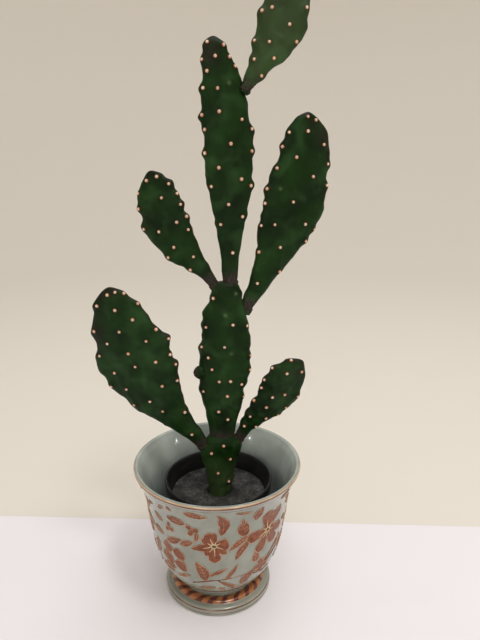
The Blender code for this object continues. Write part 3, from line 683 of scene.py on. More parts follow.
# Each pad: the piece that it stands on, its foot and tip, its turn about its own axis in degrees, its half
# widths and its thickness by distance along it, how flat its faces are, the length of its rounded tip, its
# front areoles as (along, across), its brown patches as (along, across, radius, share), its brown tip's
# length, and its brown neck's where that isn't NECK_LENGTH
PADS = {
    "trunk": {
        "parent": None, "foot": (1, 9, 68), "tip": (5.2, 9, 178), "turn": 0,
        "left": [(0, STEM_RADIUS), (45, STEM_RADIUS), (63, 15.4), (82, 21.5), (93, 24), (102, 20.5),
                 (110, 14)],
        "right": [(0, STEM_RADIUS), (45, STEM_RADIUS), (63, 15), (87, 19.7), (104, 22.6), (110, 21)],
        "thick": [(0, 2 * STEM_RADIUS), (45, 2 * STEM_RADIUS), (63, 28), (110, 24)], "flat": 0.0, "cap": 4,
        "areoles": [(62, 9), (73, -3), (89, 10), (96, -11), (106, 2)], "brown": [], "tip_brown": 0,
    },
    "pad_lower_left": {
        "parent": "trunk", "foot": (-16, 8, 171), "tip": (-107, -12, 354), "turn": 12,
        "left": [(0, 7), *rows(14, 12.3, 17.7, 21.2, 25.8, 30.7, 35.2, 40, 46.3, 49.2, 49.9, 53.2, 56.3,
                 57.2, 56.8, 59, 56.5, 51.8, 47.2, 43.6, 42.7, 37.8, 31.6, 25.3, 20.4), (205, 15)],
        "right": [(0, 7), *rows(14, 7, 7, 6.7, 7, 5.6, 6.6, 8.8, 11.1, 13.9, 15.3, 19.1, 23.5, 22.5, 22.8,
                  27.6, 30.1, 26.1, 22.9, 22.7, 22.4, 21.4, 18.9, 14.1, 10.3), (205, 8)],
        "thick": [(0, 11), (70, 17), (145, 16), (205, 11)], "flat": 0.2, "cap": 12,
        "areoles": [(20, -2), (48, 4), (60, -16), (76, -23), (78, -42), (86, 15), (88, -1), (99, -39),
                    (104, 23), (107, -54), (116, 7), (116, 23), (120, -15), (121, -41), (133, 31),
                    (136, -14), (141, 10), (144, -46), (147, 24), (154, -29), (161, -10), (167, 9),
                    (171, -35), (179, 23), (183, -2), (194, 14), (194, -17), (199, 7), (200, -1)],
        "brown": [(171, -38, 15, 0.85), (152, -50, 8, 0.8), (190, -26, 9, 0.8)], "tip_brown": 12,
    },
    "pad_lower_right": {
        "parent": "trunk", "foot": (26, 9, 178), "tip": (90, -8, 274), "turn": -14,
        "left": [(0, 7), *rows(14, 10.5, 12.3, 13.8, 14.6, 17.7, 16.4, 19.9, 21.1, 23.8, 22.6, 23.8, 19.6),
                 (116, 11)],
        "right": [(0, 4.6), (12, 4.6), *rows(14, 4.5, 5.4, 10, 14.6, 17.4, 20.5, 22.6, 24.8, 22.5, 19.9,
                  17.6, 14.5, 9), (116, 5)],
        "thick": [(0, 10), (40, 14), (80, 13.5), (116, 10)], "flat": 0.2, "cap": 11,
        "areoles": [(19, -9), (24, 3), (33, -11), (39, 6), (48, 16), (51, -18), (52, -3), (61, 17),
                    (66, -5), (69, -21), (75, 5), (79, -24), (79, 20), (95, -25), (98, -9), (107, 4),
                    (112, -13)],
        "brown": [(108, 6, 9, 0.7)], "tip_brown": 6,
    },
    "pad_middle": {
        "parent": "trunk", "foot": (5, 9, 178.4), "tip": (9.4, 10, 355.5), "turn": 6,
        "left": [(0, 13), *rows(14, 15, 17.4, 19.1, 21, 23.6, 24.6, 25.4, 25.9, 25.9, 25.7, 25.3, 26.3,
                 23.7, 24.4, 22.9, 22.8, 23.8, 19.3, 14.4, 13.6), (177, 13)],
        "right": [(0, 13), *rows(14, 15.6, 17.1, 18.6, 20.4, 22.5, 22.6, 24.4, 26.2, 28.9, 28.3, 28.3, 27.6,
                  29.3, 29.1, 26.4, 23.9, 22.7, 21, 18.8, 16.8), (177, 14)],
        "thick": [(0, 18), (60, 21), (125, 20), (177, 17)], "flat": 0.2, "cap": 5,
        "areoles": [(26, 7), (35, -3), (52, 23), (54, 6), (57, -20), (67, 21), (70, -3), (71, 9), (83, -11),
                    (83, 29), (96, -15), (99, 29), (107, -22), (109, 2), (129, -18), (132, 24), (133, 10),
                    (160, -11), (166, 12)],
        "brown": [(66, -27, 7, 0.6)], "tip_brown": 4,
    },
    "pad_mid_left": {
        "parent": "pad_middle", "foot": (-2.5, 11, 352.5), "tip": (-66, 26, 464), "turn": 14,
        "left": [(0, 5.2), (10, 8), *rows(14, 9.7, 13.8, 18.7, 25.7, 29.2, 31.6, 33.6, 36.1, 37.1, 37.1,
                 31.4, 29.9, 26.4, 19), (129, 7.5)],
        "right": [(0, 5.2), *rows(14, 5.1, 5.8, 5.7, 5.9, 7.3, 8.1, 9.2, 11.9, 11.5, 14.6, 14.2, 14.2, 14.7,
                  10), (129, 7)],
        "thick": [(0, 9.5), (45, 13), (90, 12.5), (129, 9)], "flat": 0.2, "cap": 9,
        "areoles": [(24, -12), (34, -2), (46, -26), (52, -15), (60, 7), (72, 1), (72, 12), (73, -21),
                    (83, -34), (85, 13), (96, 15), (100, 0), (103, -28), (108, 13), (116, -20), (120, 6),
                    (122, -5)],
        "brown": [(92, -33, 10, 0.5)], "tip_brown": 9,
    },
    "pad_upper_right": {
        "parent": "pad_middle", "foot": (31, 12, 328), "tip": (93, 30, 521), "turn": -12,
        "left": [(0, 5.4), *rows(14, 5.8, 5, 5.3, 5.4, 6.2, 6, 6.8, 10.8, 12.4, 12.2, 15, 14.2, 15.2, 18.7,
                 17.7, 18.6, 16.6, 15.5, 15.2, 16.7, 15, 14.9, 12.9), (203, 5.5)],
        "right": [(0, 7.2), *rows(14, 12.6, 16.4, 18.7, 21.1, 24.9, 29.3, 32.5, 35.5, 38.9, 42.4, 44.3,
                  45.2, 47.2, 48.5, 46.3, 45.8, 44.8, 39.5, 38.7, 37.7, 35.4, 31, 27.2), (203, 14)],
        "thick": [(0, 12), (70, 17), (140, 16), (203, 11)], "flat": 0.2, "cap": 11,
        "areoles": [(27, 2), (45, 21), (58, -6), (69, 13), (83, 39), (84, -12), (89, 0), (97, 44), (99, 31),
                    (106, -15), (116, 11), (120, -18), (142, -15), (143, 41), (146, 23), (158, 0),
                    (163, 35), (163, -16), (178, -14), (179, 24), (185, 3), (198, 8), (198, -1)],
        "brown": [(187, 24, 12, 0.85), (197, 8, 10, 0.6), (170, 38, 6, 0.6)], "tip_brown": 6,
    },
    "pad_upper": {
        "parent": "pad_middle", "foot": (14.3, 10, 355.8), "tip": (-0.8, 2, 582.5), "turn": -6,
        "left": [(0, 7.2), *rows(14, 7.6, 7, 7.8, 9.1, 9.7, 10.1, 10.4, 12.2, 13.3, 14.5, 14, 16, 16.7, 17,
                 18.2, 15.2, 15.1, 15.4, 18, 15.4, 15.8, 15.7, 13.3, 10.8, 12, 11), (227, 7)],
        "right": [(0, 7.8), *rows(14, 10.2, 11.3, 12.5, 13.8, 16.1, 18.8, 19.4, 21.6, 24.7, 27.4, 29.5,
                  28.8, 29.5, 29.7, 31.5, 32.2, 32.9, 30.2, 29.4, 29.3, 26.9, 24, 23.2, 20.7, 15.4, 11.8),
                  (227, 6.5)],
        "thick": [(0, 12), (80, 17), (160, 16), (227, 11)], "flat": 0.2, "cap": 9,
        "areoles": [(30, 4), (59, -6), (65, 16), (78, 3), (94, 26), (96, -12), (101, 17), (113, -4),
                    (126, 29), (127, -16), (134, 9), (146, 30), (148, -14), (155, 21), (161, -16), (163, 0),
                    (183, 0), (184, -13), (198, -8), (201, 18), (208, -12), (209, 13), (210, 0), (219, 8),
                    (222, -6)],
        "brown": [(214, -5, 11, 0.85)], "tip_brown": 11,
    },
    "pad_top": {
        "parent": "pad_upper", "foot": (29, 3, 538.7), "tip": (78, 14, 639.4), "turn": 10,
        "left": [(0, 4.8), *rows(14, 6.5, 7.2, 9.4, 11.5, 13.3, 15.2, 17.1, 17.2, 17.5, 16.9, 15.2, 13.1),
                 (112, 10)],
        "right": [(0, 4.8), *rows(14, 9.8, 13.2, 16.3, 21.8, 25.1, 25.2, 29.3, 29.4, 25.2, 20.8, 19.5,
                  16.3), (112, 12)],
        "thick": [(0, 9), (40, 13), (75, 12.5), (112, 9)], "flat": 0.2, "cap": 10,
        "areoles": [(15, 9), (25, -3), (33, 13), (40, -10), (44, 3), (55, 25), (65, 13), (66, -15),
                    (72, -8), (85, 20), (88, 4), (94, -13), (103, 9), (106, -3)],
        "brown": [], "tip_brown": 7, "neck": 6,
    },
}

# Scallops stand on the edges, at each areole within a band along them
SCALLOP_LIFT = 1.7
SCALLOP_REACH = 7.5
EDGE_BAND = 6.5
EDGE_LIMIT = 0.97
# Areoles on the back keep to a share of the half width, and are shifted and scattered along the pad
FACE_SHARE = 0.8
BACK_SHIFT = 8.0
BACK_JITTER = 3.0
BACK_SEED = 11
NECK_LENGTH = 11.0
TUBERCLE_RADIUS = 3.6
TUBERCLE_HEIGHT = 0.75
TUBERCLE_REACH = 9
# Bumps whose dot is missing, and the pad whose collar is the shoulder of the piece below
BARE_BUMPS = {"pad_middle": [(166, 12), (143, 2), (102, 9)], "pad_upper": [(187, 11), (107, -16)],
              "pad_upper_right": [(124, -6), (122, 46)]}
SHOULDERED = ["pad_middle"]
PAD_SEGMENTS = 112
PAD_RINGS = 190
# The skins start down in the collars, and the trunk's down in the fill. The tip takes the last of the rings
PAD_START = -1.2
TRUNK_START = 40.0
TIP_FROM = 0.88
# The top pad and the trunk's foot are painted paler than the rest, by these shares, as painted light: the top
# pad as if lit more strongly, the trunk's foot as if lit down inside the pot
TOP_PAINTED_LIGHT = 0.12
FOOT_PAINTED_LIGHT = 0.16
# How far the painted shade round each dot and the pale spot on each bare bump reach, and how pale the spot is
DOT_SHADE = 3.4
BARE_SPOT = 1.5
BARE_PALENESS = 0.45
# A section is a squared ellipse: its width's power falls by this much as its faces grow flat
FLATTENING = 0.75


def smooth_curve(points, place):
    """The value at a place on a smooth curve through (place, value) points that doesn't overshoot them."""
    places = [p[0] for p in points]
    values = [p[1] for p in points]
    if place <= places[0]:
        return values[0]
    if place >= places[-1]:
        return values[-1]
    steps = [(values[i + 1] - values[i]) / (places[i + 1] - places[i]) for i in range(len(points) - 1)]
    slopes = [steps[0]]
    for before, after in zip(steps, steps[1:]):
        slopes.append(2 * before * after / (before + after) if before * after > 0 else 0.0)
    slopes.append(steps[-1])
    i = max(k for k in range(len(steps)) if places[k] <= place)
    width = places[i + 1] - places[i]
    t = (place - places[i]) / width
    return (
        values[i] * (1 + 2 * t) * (1 - t) ** 2
        + values[i + 1] * t * t * (3 - 2 * t)
        + width * (slopes[i] * t * (1 - t) ** 2 - slopes[i + 1] * t * t * (1 - t))
    )


def pad_length(pad):
    """From its foot to its tip, in mm."""
    return (Vector(pad["tip"]) - Vector(pad["foot"])).length


def pad_frame(pad):
    """The pad's own frame in metres: X across to the right, Y away from the viewer, Z along it."""
    along = (Vector(pad["tip"]) - Vector(pad["foot"])).normalized()
    back = (Vector((0, 1, 0)) - along * along.y).normalized()
    across = back.cross(along)
    turn = Matrix.Rotation(math.radians(-pad["turn"]), 3, along)
    axes = Matrix([turn @ across, turn @ back, along]).transposed()
    return Matrix.Translation(Vector(pad["foot"]) * MM) @ axes.to_4x4()


def tip_factor(pad, along):
    """How much of its width and depth the pad has at a distance along it, as its rounded tip closes."""
    into = (along - (pad_length(pad) - pad["cap"])) / pad["cap"]
    return 1.0 if into <= 0 else math.sqrt(max(0.0, 1 - into * into))


def half_width(pad, side, along):
    """Half width on one side, lifted into a scallop at each areole of that edge."""
    sign = 1 if side == "right" else -1
    width = smooth_curve(pad[side], along)
    for place, across in pad["areoles"]:
        distance = abs(along - place)
        on_edge = across * sign > smooth_curve(pad[side], place) - EDGE_BAND
        if on_edge and across * sign > 0 and distance < SCALLOP_REACH:
            width += SCALLOP_LIFT * math.cos(0.5 * math.pi * distance / SCALLOP_REACH) ** 2
    return width * tip_factor(pad, along)


def section(pad, along):
    """(middle, half width, half depth, flatness) of the pad's section at a distance along it."""
    left, right = half_width(pad, "left", along), half_width(pad, "right", along)
    flat = pad["flat"] * min(1.0, max(along, 0.0) / (0.3 * pad_length(pad)))
    depth = smooth_curve(pad["thick"], along) * tip_factor(pad, along) ** 0.8 / 2
    return (right - left) / 2, (left + right) / 2, depth, flat


def areole_places(pad):
    """Front areoles as listed, and the same pattern shifted along on the back, kept off the edges."""
    draw = random.Random(BACK_SEED)
    places = [(along, across, -1) for along, across in pad["areoles"]]
    lowest = pad["areoles"][0][0]
    for along, across in pad["areoles"]:
        shifted = along - BACK_SHIFT + draw.uniform(-BACK_JITTER, BACK_JITTER)
        middle, half, _, _ = section(pad, shifted)
        if shifted > lowest and abs(across - middle) < FACE_SHARE * half:
            places.append((shifted, across, 1))
    return places


def areole_angle(pad, along, across, side):
    """The angle round the pad's section at which an areole sits."""
    middle, half, _, flat = section(pad, along)
    reach = max(-EDGE_LIMIT, min(EDGE_LIMIT, (across - middle) / half))
    return side * math.acos(math.copysign(abs(reach) ** (1 / (1 - FLATTENING * flat)), reach))


class Skin:
    """A pad's finished surface: its section, its tubercles, its lumps and its corky neck."""

    def __init__(self, name, pad):
        self.pad, self.length = pad, pad_length(pad)
        self.grid = np.linspace(-2.0, self.length, 900)
        self.table = np.array([section(pad, max(s, 0.0)) for s in self.grid])
        self.shift = Vector((len(name) * 3.7, sum(map(ord, name)) % 97, 5.1))
        self.dots = []
        bare = BARE_BUMPS.get(name, [])
        for along, across, side in areole_places(pad):
            if (along, across) not in bare:
                self.dots.append((along, areole_angle(pad, along, across, side)))
        self.dot_points = [self.base(along, angle) for along, angle in self.dots]
        self.bare_points = [self.base(along, areole_angle(pad, along, across, -1)) for along, across in bare]

    def row(self, along):
        """(middle, half width, half depth, flatness) at a distance along, from the table."""
        return [float(np.interp(along, self.grid, self.table[:, k])) for k in range(4)]

    def base(self, along, angle):
        """A point of the plain skin in the pad's own frame, in mm."""
        middle, half, depth, flat = self.row(along)
        c, s = math.cos(angle), math.sin(angle)
        x = middle + half * math.copysign(abs(c) ** (1 - FLATTENING * flat), c)
        return Vector((x, depth * math.copysign(abs(s) ** (1 - flat), s), along))

    def lift(self, point, along):
        """How far the finished skin stands out from the plain one, in mm."""
        fade = min(1.0, max(0.0, (along - 4) / 20)) * min(1.0, max(0.0, (self.length - along) / 8))
        spot = point + self.shift
        lumps = 1.0 * noise.noise(spot / 17) + 0.4 * noise.noise(spot / 8.5)
        stretched = Vector((spot.x, spot.y * 0.4, spot.z * 0.55))
        ridge = 0.7 * (1 - min(1.0, 3.2 * abs(noise.noise(stretched / 15))))
        out = fade * (lumps + ridge - 0.45)
        neck = max(0.0, 1 - along / NECK_LENGTH)
        if self.pad["parent"]:
            out += neck * (0.28 * math.sin(along * 2.1) + 0.25 * noise.noise(spot / 2.2))
        for dot in self.dot_points + self.bare_points:
            if abs(dot.z - point.z) < TUBERCLE_REACH:
                gap = (dot - point).length
                if gap < TUBERCLE_REACH:
                    out += TUBERCLE_HEIGHT * math.exp(-(gap / TUBERCLE_RADIUS) ** 2)
        return out

    def at(self, along, angle):
        """A point of the finished skin in the pad's own frame, in mm."""
        point = self.base(along, angle)
        _, half, depth, _ = self.row(along)
        outward = Vector((math.cos(angle) / max(half, 1.0), math.sin(angle) / max(depth, 1.0), 0))
        return point + outward.normalized() * self.lift(point, along)

    def facing(self, along, angle):
        """The finished skin's outward normal, in the pad's own frame."""
        up = self.at(along + 0.8, angle) - self.at(along - 0.8, angle)
        round_ = self.at(along, angle + 0.03) - self.at(along, angle - 0.03)
        return round_.cross(up).normalized()

    def brown(self, point):
        """How far the skin has turned to cork at the neck, and to near-black brown elsewhere, from 0 to 1."""
        ragged = noise.noise((point + self.shift) / 5) * 3.2 + noise.noise((point + self.shift) / 1.7) * 1.2
        cork = shade = 0.0
        if self.pad["parent"]:
            cork = 1 / (1 + math.exp((point.z - self.pad.get("neck", NECK_LENGTH) + 2 + ragged) / 1.9))
        if self.pad["tip_brown"]:
            tip = self.length - self.pad["tip_brown"] * 0.62
            shade = max(shade, 0.85 / (1 + math.exp((tip - point.z + ragged) / 1.6)))
        for along, across, radius, most in self.pad["brown"]:
            gap = math.hypot(point.z - along, point.x - across) + ragged
            shade = max(shade, most / (1 + math.exp((gap - radius) / 2.4)))
        return cork, min(1.0, shade)


def masked(mesh, shares):
    """Stores each point's (cork, edge, nearness to a dot for its painted shade, pale spot and painted light)
    shares, for the skin's material.
    """
    layer = mesh.attributes.new("masks", "FLOAT_COLOR", "POINT")
    layer.data.foreach_set("color", np.array(shares, np.float32).ravel())


def pad_piece(name, skin):
    """The pad's finished mesh: a UV sphere drawn out onto its skin, with masks for its material."""
    deselect()
    bpy.ops.mesh.primitive_uv_sphere_add(segments=PAD_SEGMENTS, ring_count=PAD_RINGS, radius=1)
    piece = bpy.context.object
    piece.name = piece.data.name = name
    body, cap = skin.length - skin.pad["cap"], skin.pad["cap"]
    start = PAD_START if skin.pad["parent"] else TRUNK_START
    shares, patches = [], []
    for v in piece.data.vertices:
        t = math.acos(max(-1.0, min(1.0, -v.co.z))) / math.pi
        if t < 0.01:
            along = start
        elif t < TIP_FROM:
            along = start + (body - start) * (t - 0.005) / (TIP_FROM - 0.005)
        else:
            along = body + cap * math.sin(0.5 * math.pi * (t - TIP_FROM) / (1 - TIP_FROM))
        middle, half, _, _ = skin.row(along)
        if abs(v.co.z) > 0.9999999:
            point = Vector((middle, 0, min(along, skin.length - 0.01)))
        else:
            point = skin.at(along, math.atan2(v.co.y, v.co.x))
        near = min((dot - point).length for dot in skin.dot_points)
        bare = min([(bump - point).length for bump in skin.bare_points], default=99.0)
        cork, patch = skin.brown(point)
        # Painted light: the top pad, and the trunk's foot down in the pot, are painted paler
        painted_light = TOP_PAINTED_LIGHT if name == "pad_top_skin" else 0.0
        if not skin.pad["parent"]:
            painted_light = FOOT_PAINTED_LIGHT * min(1.0, max(0.0, (95 - along) / 35))
        patches.append(patch)
        edge = min(1.0, abs(point.x - middle) / max(1.0, half))
        pale_spot_and_painted_light = max(painted_light, BARE_PALENESS * math.exp(-(bare / BARE_SPOT) ** 2))
        # The third share is the painted shade round the dots
        shares.append((cork, edge, math.exp(-(near / DOT_SHADE) ** 2), pale_spot_and_painted_light))
        v.co = point * MM
    masked(piece.data, shares)
    layer = piece.data.attributes.new("dark_patches", "FLOAT", "POINT")
    layer.data.foreach_set("value", np.array(patches, np.float32))
    piece.data.transform(pad_frame(skin.pad))
    piece.data.update()
    take(piece)
    bpy.ops.object.shade_smooth()
    return piece


# A collar's rows from the inside up and over: (distance along, mm of growth of the neck's outline). A
# shoulder's run from the outline of the piece below up to the neck's own: (distance along, share of it)
COLLAR_SIDES = 48
LIP = ((-2.8, 0.75), (-2, 0.85), (-1.4, 0.85), (-0.7, 0.7), (-0.3, 0.4), (-0.25, 0.0), (-0.6, -1.5))
SHOULDER = ((-10, 0.9), (-7, 1.0), (-4.5, 1.0), (-3, 0.96), (-1.6, 0.87), (-0.4, 0.74), (0.8, 0.57),
            (1.9, 0.38), (2.8, 0.2), (3.5, 0.06), (3.6, -0.02), (3.2, -0.3))


def collar_mesh(child):
    """The corky collar that a pad's neck stands in, as closed rings down into the piece below."""
    skin, parent = skins[child], skins[PADS[child]["parent"]]
    into_child = pad_frame(PADS[child]).inverted() @ pad_frame(parent.pad)
    top = parent.length - parent.pad["cap"] - 1
    shouldered = child in SHOULDERED
    deep = 0.6 if child == "pad_top" else 1.0
    steps = SHOULDER if shouldered else ((-8 * deep, -0.6), (-6 * deep, 0.1), (-4 * deep, 0.5)) + LIP
    points, shares = [], []
    for r, (along, grow) in enumerate(steps):
        for k in range(COLLAR_SIDES):
            angle = 2 * math.pi * k / COLLAR_SIDES
            point = skin.base(0.0, angle)
            rough = 0.25 * noise.noise(Vector((point.x, point.y, along)) / 1.8) if grow > 0.4 else 0
            if shouldered:
                below = into_child @ (parent.base(top, angle) * MM) / MM
                point = point.lerp(Vector((below.x, below.y, 0)), grow)
            else:
                middle = float(skin.table[0][0])
                point = point + Vector((point.x - middle, point.y, 0)).normalized() * (grow + rough)
            points.append((point.x * MM, point.y * MM, along * MM))
            shares.append((0.0 if shouldered else min(0.9, 0.3 * r), 0.3, 0, 0))
    ring = range(COLLAR_SIDES)
    order = [tuple(ring)[::-1], tuple((len(steps) - 1) * COLLAR_SIDES + k for k in ring)]
    for low in range(0, (len(steps) - 1) * COLLAR_SIDES, COLLAR_SIDES):
        high = low + COLLAR_SIDES
        order += [(low + k, low + (k + 1) % COLLAR_SIDES, high + (k + 1) % COLLAR_SIDES, high + k)
                  for k in ring]
    mesh = mesh_of("collar", points, [], order)
    mesh.transform(pad_frame(PADS[child]))
    masked(mesh, shares)
    mesh.shade_smooth()
    return mesh


# Soft vinyl, moulded from a real pad and sprayed deep green, with near-black brown at the joints and tips:
# satin, with a painted sheen in pale-green clouds and painted shade round each dot, a thin brown line along
# its edges and a pale spot on each bare bump. The top pad and the trunk's foot are painted paler as painted
# light
skin_vinyl, tree, shader = new_material("cactus_green_vinyl")
place = add(tree, "TexCoord").outputs["Object"]
masks = add(tree, "Attribute", attribute_name="masks").outputs
parts = add(tree, "SeparateColor", {"Color": masks["Color"]}).outputs
patches = add(tree, "Attribute", attribute_name="dark_patches").outputs["Fac"]
broad = clouds(tree, place, 0.03, 3.0, Roughness=0.45)
sheen_and_tone_clouds = clouds(tree, place, 0.026, 2.0, Distortion=0.3)
fine = clouds(tree, place, 0.0016, 4.0, Roughness=0.7)
leather = clouds(tree, place, 0.0035, 5.0, Roughness=0.6)
# Painted sheen: pale green laid in clouds over the skin, standing in for a satin gloss catching the light
painted_sheen = maths(tree, "MULTIPLY", ramp(tree, sheen_and_tone_clouds, (0.48, "000000"), (0.74, "FFFFFF")), 0.5)
# Painted shade: darker green round each dot, where the crease round its tubercle lies in shade
dot_painted_shade = maths(tree, "MULTIPLY", parts["Blue"], 0.5)
edge = spread(tree, parts["Green"], 0.95, 1.0, 0.0, 0.7)
scorched = ramp(tree, sheen_and_tone_clouds, (0.35, "14150C"), (0.65, "231F17"))
cork = ramp(tree, fine, (0.3, "1F1B18"), (0.75, "544C45"), (0.52, "362F2B"))
tint = ramp(tree, broad, (0.32, "0B1D06"), (0.7, "193610"), (0.5, "122A0A"))
for share, over in ((painted_sheen, linear("35572D")), (dot_painted_shade, linear("0D180A")),
                    (masks["Alpha"], linear("7F9062")), (edge, linear("2A201A")), (patches, scorched),
                    (parts["Red"], cork)):
    tint = blend(tree, share, tint, over)
rough = add(tree, "Mix", {0: parts["Red"], 2: leather, 3: fine}).outputs[0]
satin = spread(tree, sheen_and_tone_clouds, 0.35, 0.7, 0.34, 0.48)
gloss = add(tree, "Mix", {0: parts["Red"], 2: satin, 3: 0.75}).outputs[0]
link(tree, shader, Base_Color=tint, Roughness=gloss, Normal=relief(tree, rough, 0.3, 0.0005))
settle(tree, shader, IOR=1.45, Specular_IOR_Level=0.13)

# The bud's place on the middle pad, its radius, its height out of the skin, and its depth in it
BUD_ALONG, BUD_ACROSS, BUD_RADIUS, BUD_HEIGHT, BUD_DEPTH = 77.0, -25.9, 6.6, 7.5, 7.0
BUD_AIM = (-1.0, -0.25, -0.12)


def bud_mesh():
    """The dormant bud on the middle pad's left edge: a sphere drawn out into a cone, dark at its tip."""
    deselect()
    bpy.ops.mesh.primitive_uv_sphere_add(segments=28, ring_count=20, radius=1)
    made = bpy.context.object
    angle = areole_angle(PADS["pad_middle"], BUD_ALONG, BUD_ACROSS, -1)
    root = skins["pad_middle"].base(BUD_ALONG, angle)
    square = Vector(BUD_AIM).normalized().to_track_quat("Z", "Y").to_matrix()
    shares = []
    for v in made.data.vertices:
        out = v.co.z
        ridged = 1 + 0.05 * math.cos(5 * math.atan2(v.co.y, v.co.x))
        wide = BUD_RADIUS * (1 - 0.2 * max(0.0, out) ** 1.5) * ridged
        high = out * (BUD_HEIGHT if out > 0 else BUD_DEPTH) - 0.9
        spot = Vector((v.co.x * 1.08 * wide, v.co.y * 1.15 * wide, high))
        spot += 0.25 * noise.noise(spot / 2.0) * Vector(v.co)
        shares.append((1 / (1 + math.exp((0.42 - out) / 0.08)), 0.3, 0, 0))
        v.co = (root + square @ spot) * MM
    made.data.transform(pad_frame(PADS["pad_middle"]))
    masked(made.data, shares)
    made.data.shade_smooth()
    return made


skins = {name: Skin(name, pad) for name, pad in PADS.items()}
for name, pad in PADS.items():
    piece = pad_piece(name + "_skin", skins[name])
    children = [child for child, other in PADS.items() if other["parent"] == name]
    extras = [bud_mesh()] if name == "pad_middle" else []
    extras += [laid("collar", collar_mesh(child)) for child in children]
    take(piece)
    for extra in extras:
        extra.select_set(True)
    if extras:
        bpy.ops.object.join()
    put(piece, [skin_vinyl], [name])

# --- Areoles ----------------------------------------------------------------------------------------------
# Each dot is a blunt peach bead of flocked vinyl in a rust-brown ring, pressed onto its tubercle. One is
# modelled and copied to every place on the pads' fronts, edges and backs.

DOT_RINGS = [(0.0, 1.22), (0.5, 1.16), (0.92, 0.95), (1.21, 0.67), (1.34, 0.42), (1.58, 0.3), (1.82, 0.06),
             (1.87, -0.5)]
DOT_SIDES = 14
DOT_PEACH_ROWS = 4
DOT_SEED = 5


def dot_mesh():
    """(points in mm, faces, which faces are peach) of one dot about the Z axis, closed under the skin."""
    points = [Vector((0, 0, DOT_RINGS[0][1]))]
    for radius, height in DOT_RINGS[1:]:
        for k in range(DOT_SIDES):
            angle = 2 * math.pi * k / DOT_SIDES
            points.append(Vector((radius * math.cos(angle), radius * math.sin(angle), height)))
    order, peach_faces = [], []
    for row in range(len(DOT_RINGS) - 1):
        for k in range(DOT_SIDES):
            n = (k + 1) % DOT_SIDES
            low = 1 + row * DOT_SIDES
            if row == 0:
                order.append((0, low + k, low + n))
            else:
                order.append((low - DOT_SIDES + k, low + k, low + n, low - DOT_SIDES + n))
            peach_faces.append(row < DOT_PEACH_ROWS)
    last = 1 + (len(DOT_RINGS) - 2) * DOT_SIDES
    order.append(tuple(last + k for k in range(DOT_SIDES))[::-1])
    peach_faces.append(False)
    return points, order, peach_faces


# A pale peach bead with a short flock: matt, a little uneven from dot to dot
peach = mottled("peach_flocked_vinyl", 0.006, 2.0, (0.35, "CDB092"), (0.65, "E8DAC3"),
                Roughness=0.6, IOR=1.46)
# Rust-brown paint in the crease round each bead
rust = mottled("rust_brown_paint", 0.002, 2.0, (0.35, "8A4526"), (0.65, "B9693F"),
               Roughness=0.55, IOR=1.46)

dot_points, dot_faces, dot_peach = dot_mesh()
dot_draw = random.Random(DOT_SEED)
for name, pad in PADS.items():
    skin, place_pad = skins[name], pad_frame(pad)
    points, order, peach_here = [], [], []
    for along, angle in skin.dots:
        scale = dot_draw.uniform(0.88, 1.08)
        spot = skin.at(along, angle)
        square = skin.facing(along, angle).to_track_quat("Z", "Y").to_matrix()
        order += [tuple(i + len(points) for i in face) for face in dot_faces]
        points += [place_pad @ ((spot + square @ (p * scale)) * MM) for p in dot_points]
        peach_here += dot_peach
    mesh = mesh_of("areoles_" + name, points, [], order)
    mesh.shade_smooth()
    put(laid("areoles_" + name, mesh), [peach, rust])
    for face, is_peach in zip(mesh.polygons, peach_here):
        face.material_index = 0 if is_peach else 1

# --- Stage ------------------------------------------------------------------------------------------------
# A plain cream cove, floor and wall in one sweep, with a white sheet laid in front. A wide soft lamp stands
# above on the right, and small ones give the glaze its glints. The camera stands where the photo's did.

COVE = [(0, -2), (1700, -2), (2250, 60), (2700, 260), (3080, 620), (3300, 1100), (3400, 1700), (3400, 3800)]
SHEET_SIZE = (3.2, 1.9)
SHEET_BACK_EDGE = 0.106
SHEET_TURN = math.radians(-4.3)
cove = turned("cream_cove", through(COVE, 120), (0, 0), 96)
deselect()
bpy.ops.mesh.primitive_plane_add(size=1, location=(0, 0, 0))
sheet = bpy.context.object
sheet.name = "white_sheet"
sheet.data.transform(Matrix.Translation((0, SHEET_BACK_EDGE, -0.0002)) @ Matrix.Rotation(SHEET_TURN, 4, "Z")
                     @ Matrix.Translation((0, -SHEET_SIZE[1] / 2, 0)) @ Matrix.Diagonal((*SHEET_SIZE, 1, 1)))
# Cream card for the cove, and white paper for the sheet
for backdrop, finish_name, shade in ((cove, "cream_card", "EBE5DB"), (sheet, "white_paper", "F4F0F4")):
    finish, tree, shader = new_material(finish_name)
    settle(tree, shader, Base_Color=linear(shade), Roughness=0.9)
    backdrop.data.materials.append(finish)


def lamp(name, size, power, place, target, shade="FFFFFF"):
    """A square soft lamp, in metres and watts, aimed at a point."""
    data = bpy.data.lights.new(name, "AREA")
    data.shape, data.size, data.energy, data.color = "SQUARE", size, power, linear(shade)[:3]
    made = laid(name, data)
    made.location = place
    made.rotation_euler = (Vector(target) - Vector(place)).to_track_quat("-Z", "Y").to_euler()


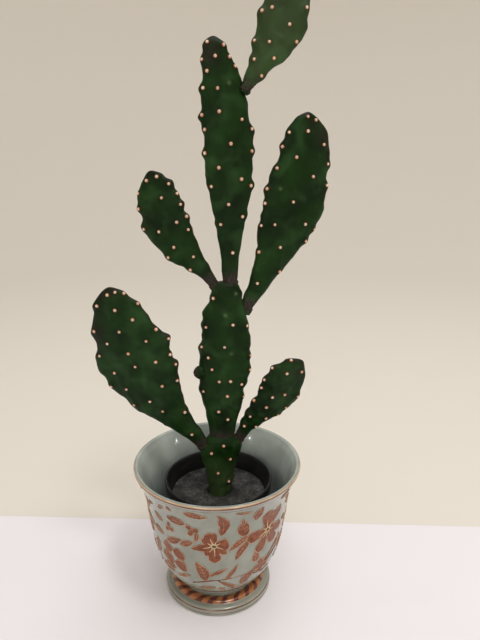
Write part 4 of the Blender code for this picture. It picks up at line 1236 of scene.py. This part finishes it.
lamp("ceiling_lamp", 3.0, 41, (0.5, -0.3, 3.3), (0, 0, 0.1))
lamp("key_lamp", 0.36, 9, (0.5, -0.75, 2.1), (0, 0, 0.2), "FFFBF5")
lamp("front_fill", 1.1, 8.5, (-0.8, -2.9, 1.6), (0, 0, 0.3))
lamp("back_fill", 1.6, 5, (0.4, 1.9, 2.6), (0, 0, 0.3))
for name, place in (("front_glint", (0.75, -1.94, 1.6)), ("right_glint", (2.25, -0.93, 0.62)),
                    ("left_glint", (-1.97, -1.41, 0.71)), ("high_left_glint", (-0.45, 0.3, 2.4)),
                    ("high_right_glint", (0.5, 0.6, 2.4)), ("high_front_glint", (0.0, -1.1, 2.5))):
    lamp(name, 0.09, 0.9, place, (0, 0, 0.1))

world = bpy.data.worlds.new("pale_room")
world.use_nodes = True
world.node_tree.nodes["Background"].inputs["Color"].default_value = linear("F4F2F0")
world.node_tree.nodes["Background"].inputs["Strength"].default_value = 0.37
bpy.context.scene.world = world

# The camera was fitted to the rim's and the foot's ellipses in the photo: its focal length is in pixels
CAMERA_PLACE = (0.0, -0.5479, 0.474)
CAMERA_DOWN, CAMERA_RIGHT, CAMERA_ROLL = (math.radians(a) for a in (16.0234, 2.5613, 0.2278))
CAMERA_FOCUS = 553
PHOTO_HEIGHT = 640
level_part = math.cos(CAMERA_DOWN)
looking = Vector((math.sin(CAMERA_RIGHT) * level_part, math.cos(CAMERA_RIGHT) * level_part,
                  -math.sin(CAMERA_DOWN)))
level = looking.cross(Vector((0, 0, 1))).normalized()
upright = level.cross(looking)
right = level * math.cos(CAMERA_ROLL) + upright * math.sin(CAMERA_ROLL)
up = upright * math.cos(CAMERA_ROLL) - level * math.sin(CAMERA_ROLL)
camera = laid("photo_camera", bpy.data.cameras.new("photo_camera"))
camera.data.lens = camera.data.sensor_width * CAMERA_FOCUS / PHOTO_HEIGHT
camera.data.clip_start = 0.05
camera.matrix_world = Matrix.Translation(CAMERA_PLACE) @ Matrix([right, up, -looking]).transposed().to_4x4()
bpy.context.scene.camera = camera
bpy.context.scene.view_settings.view_transform = "Standard"
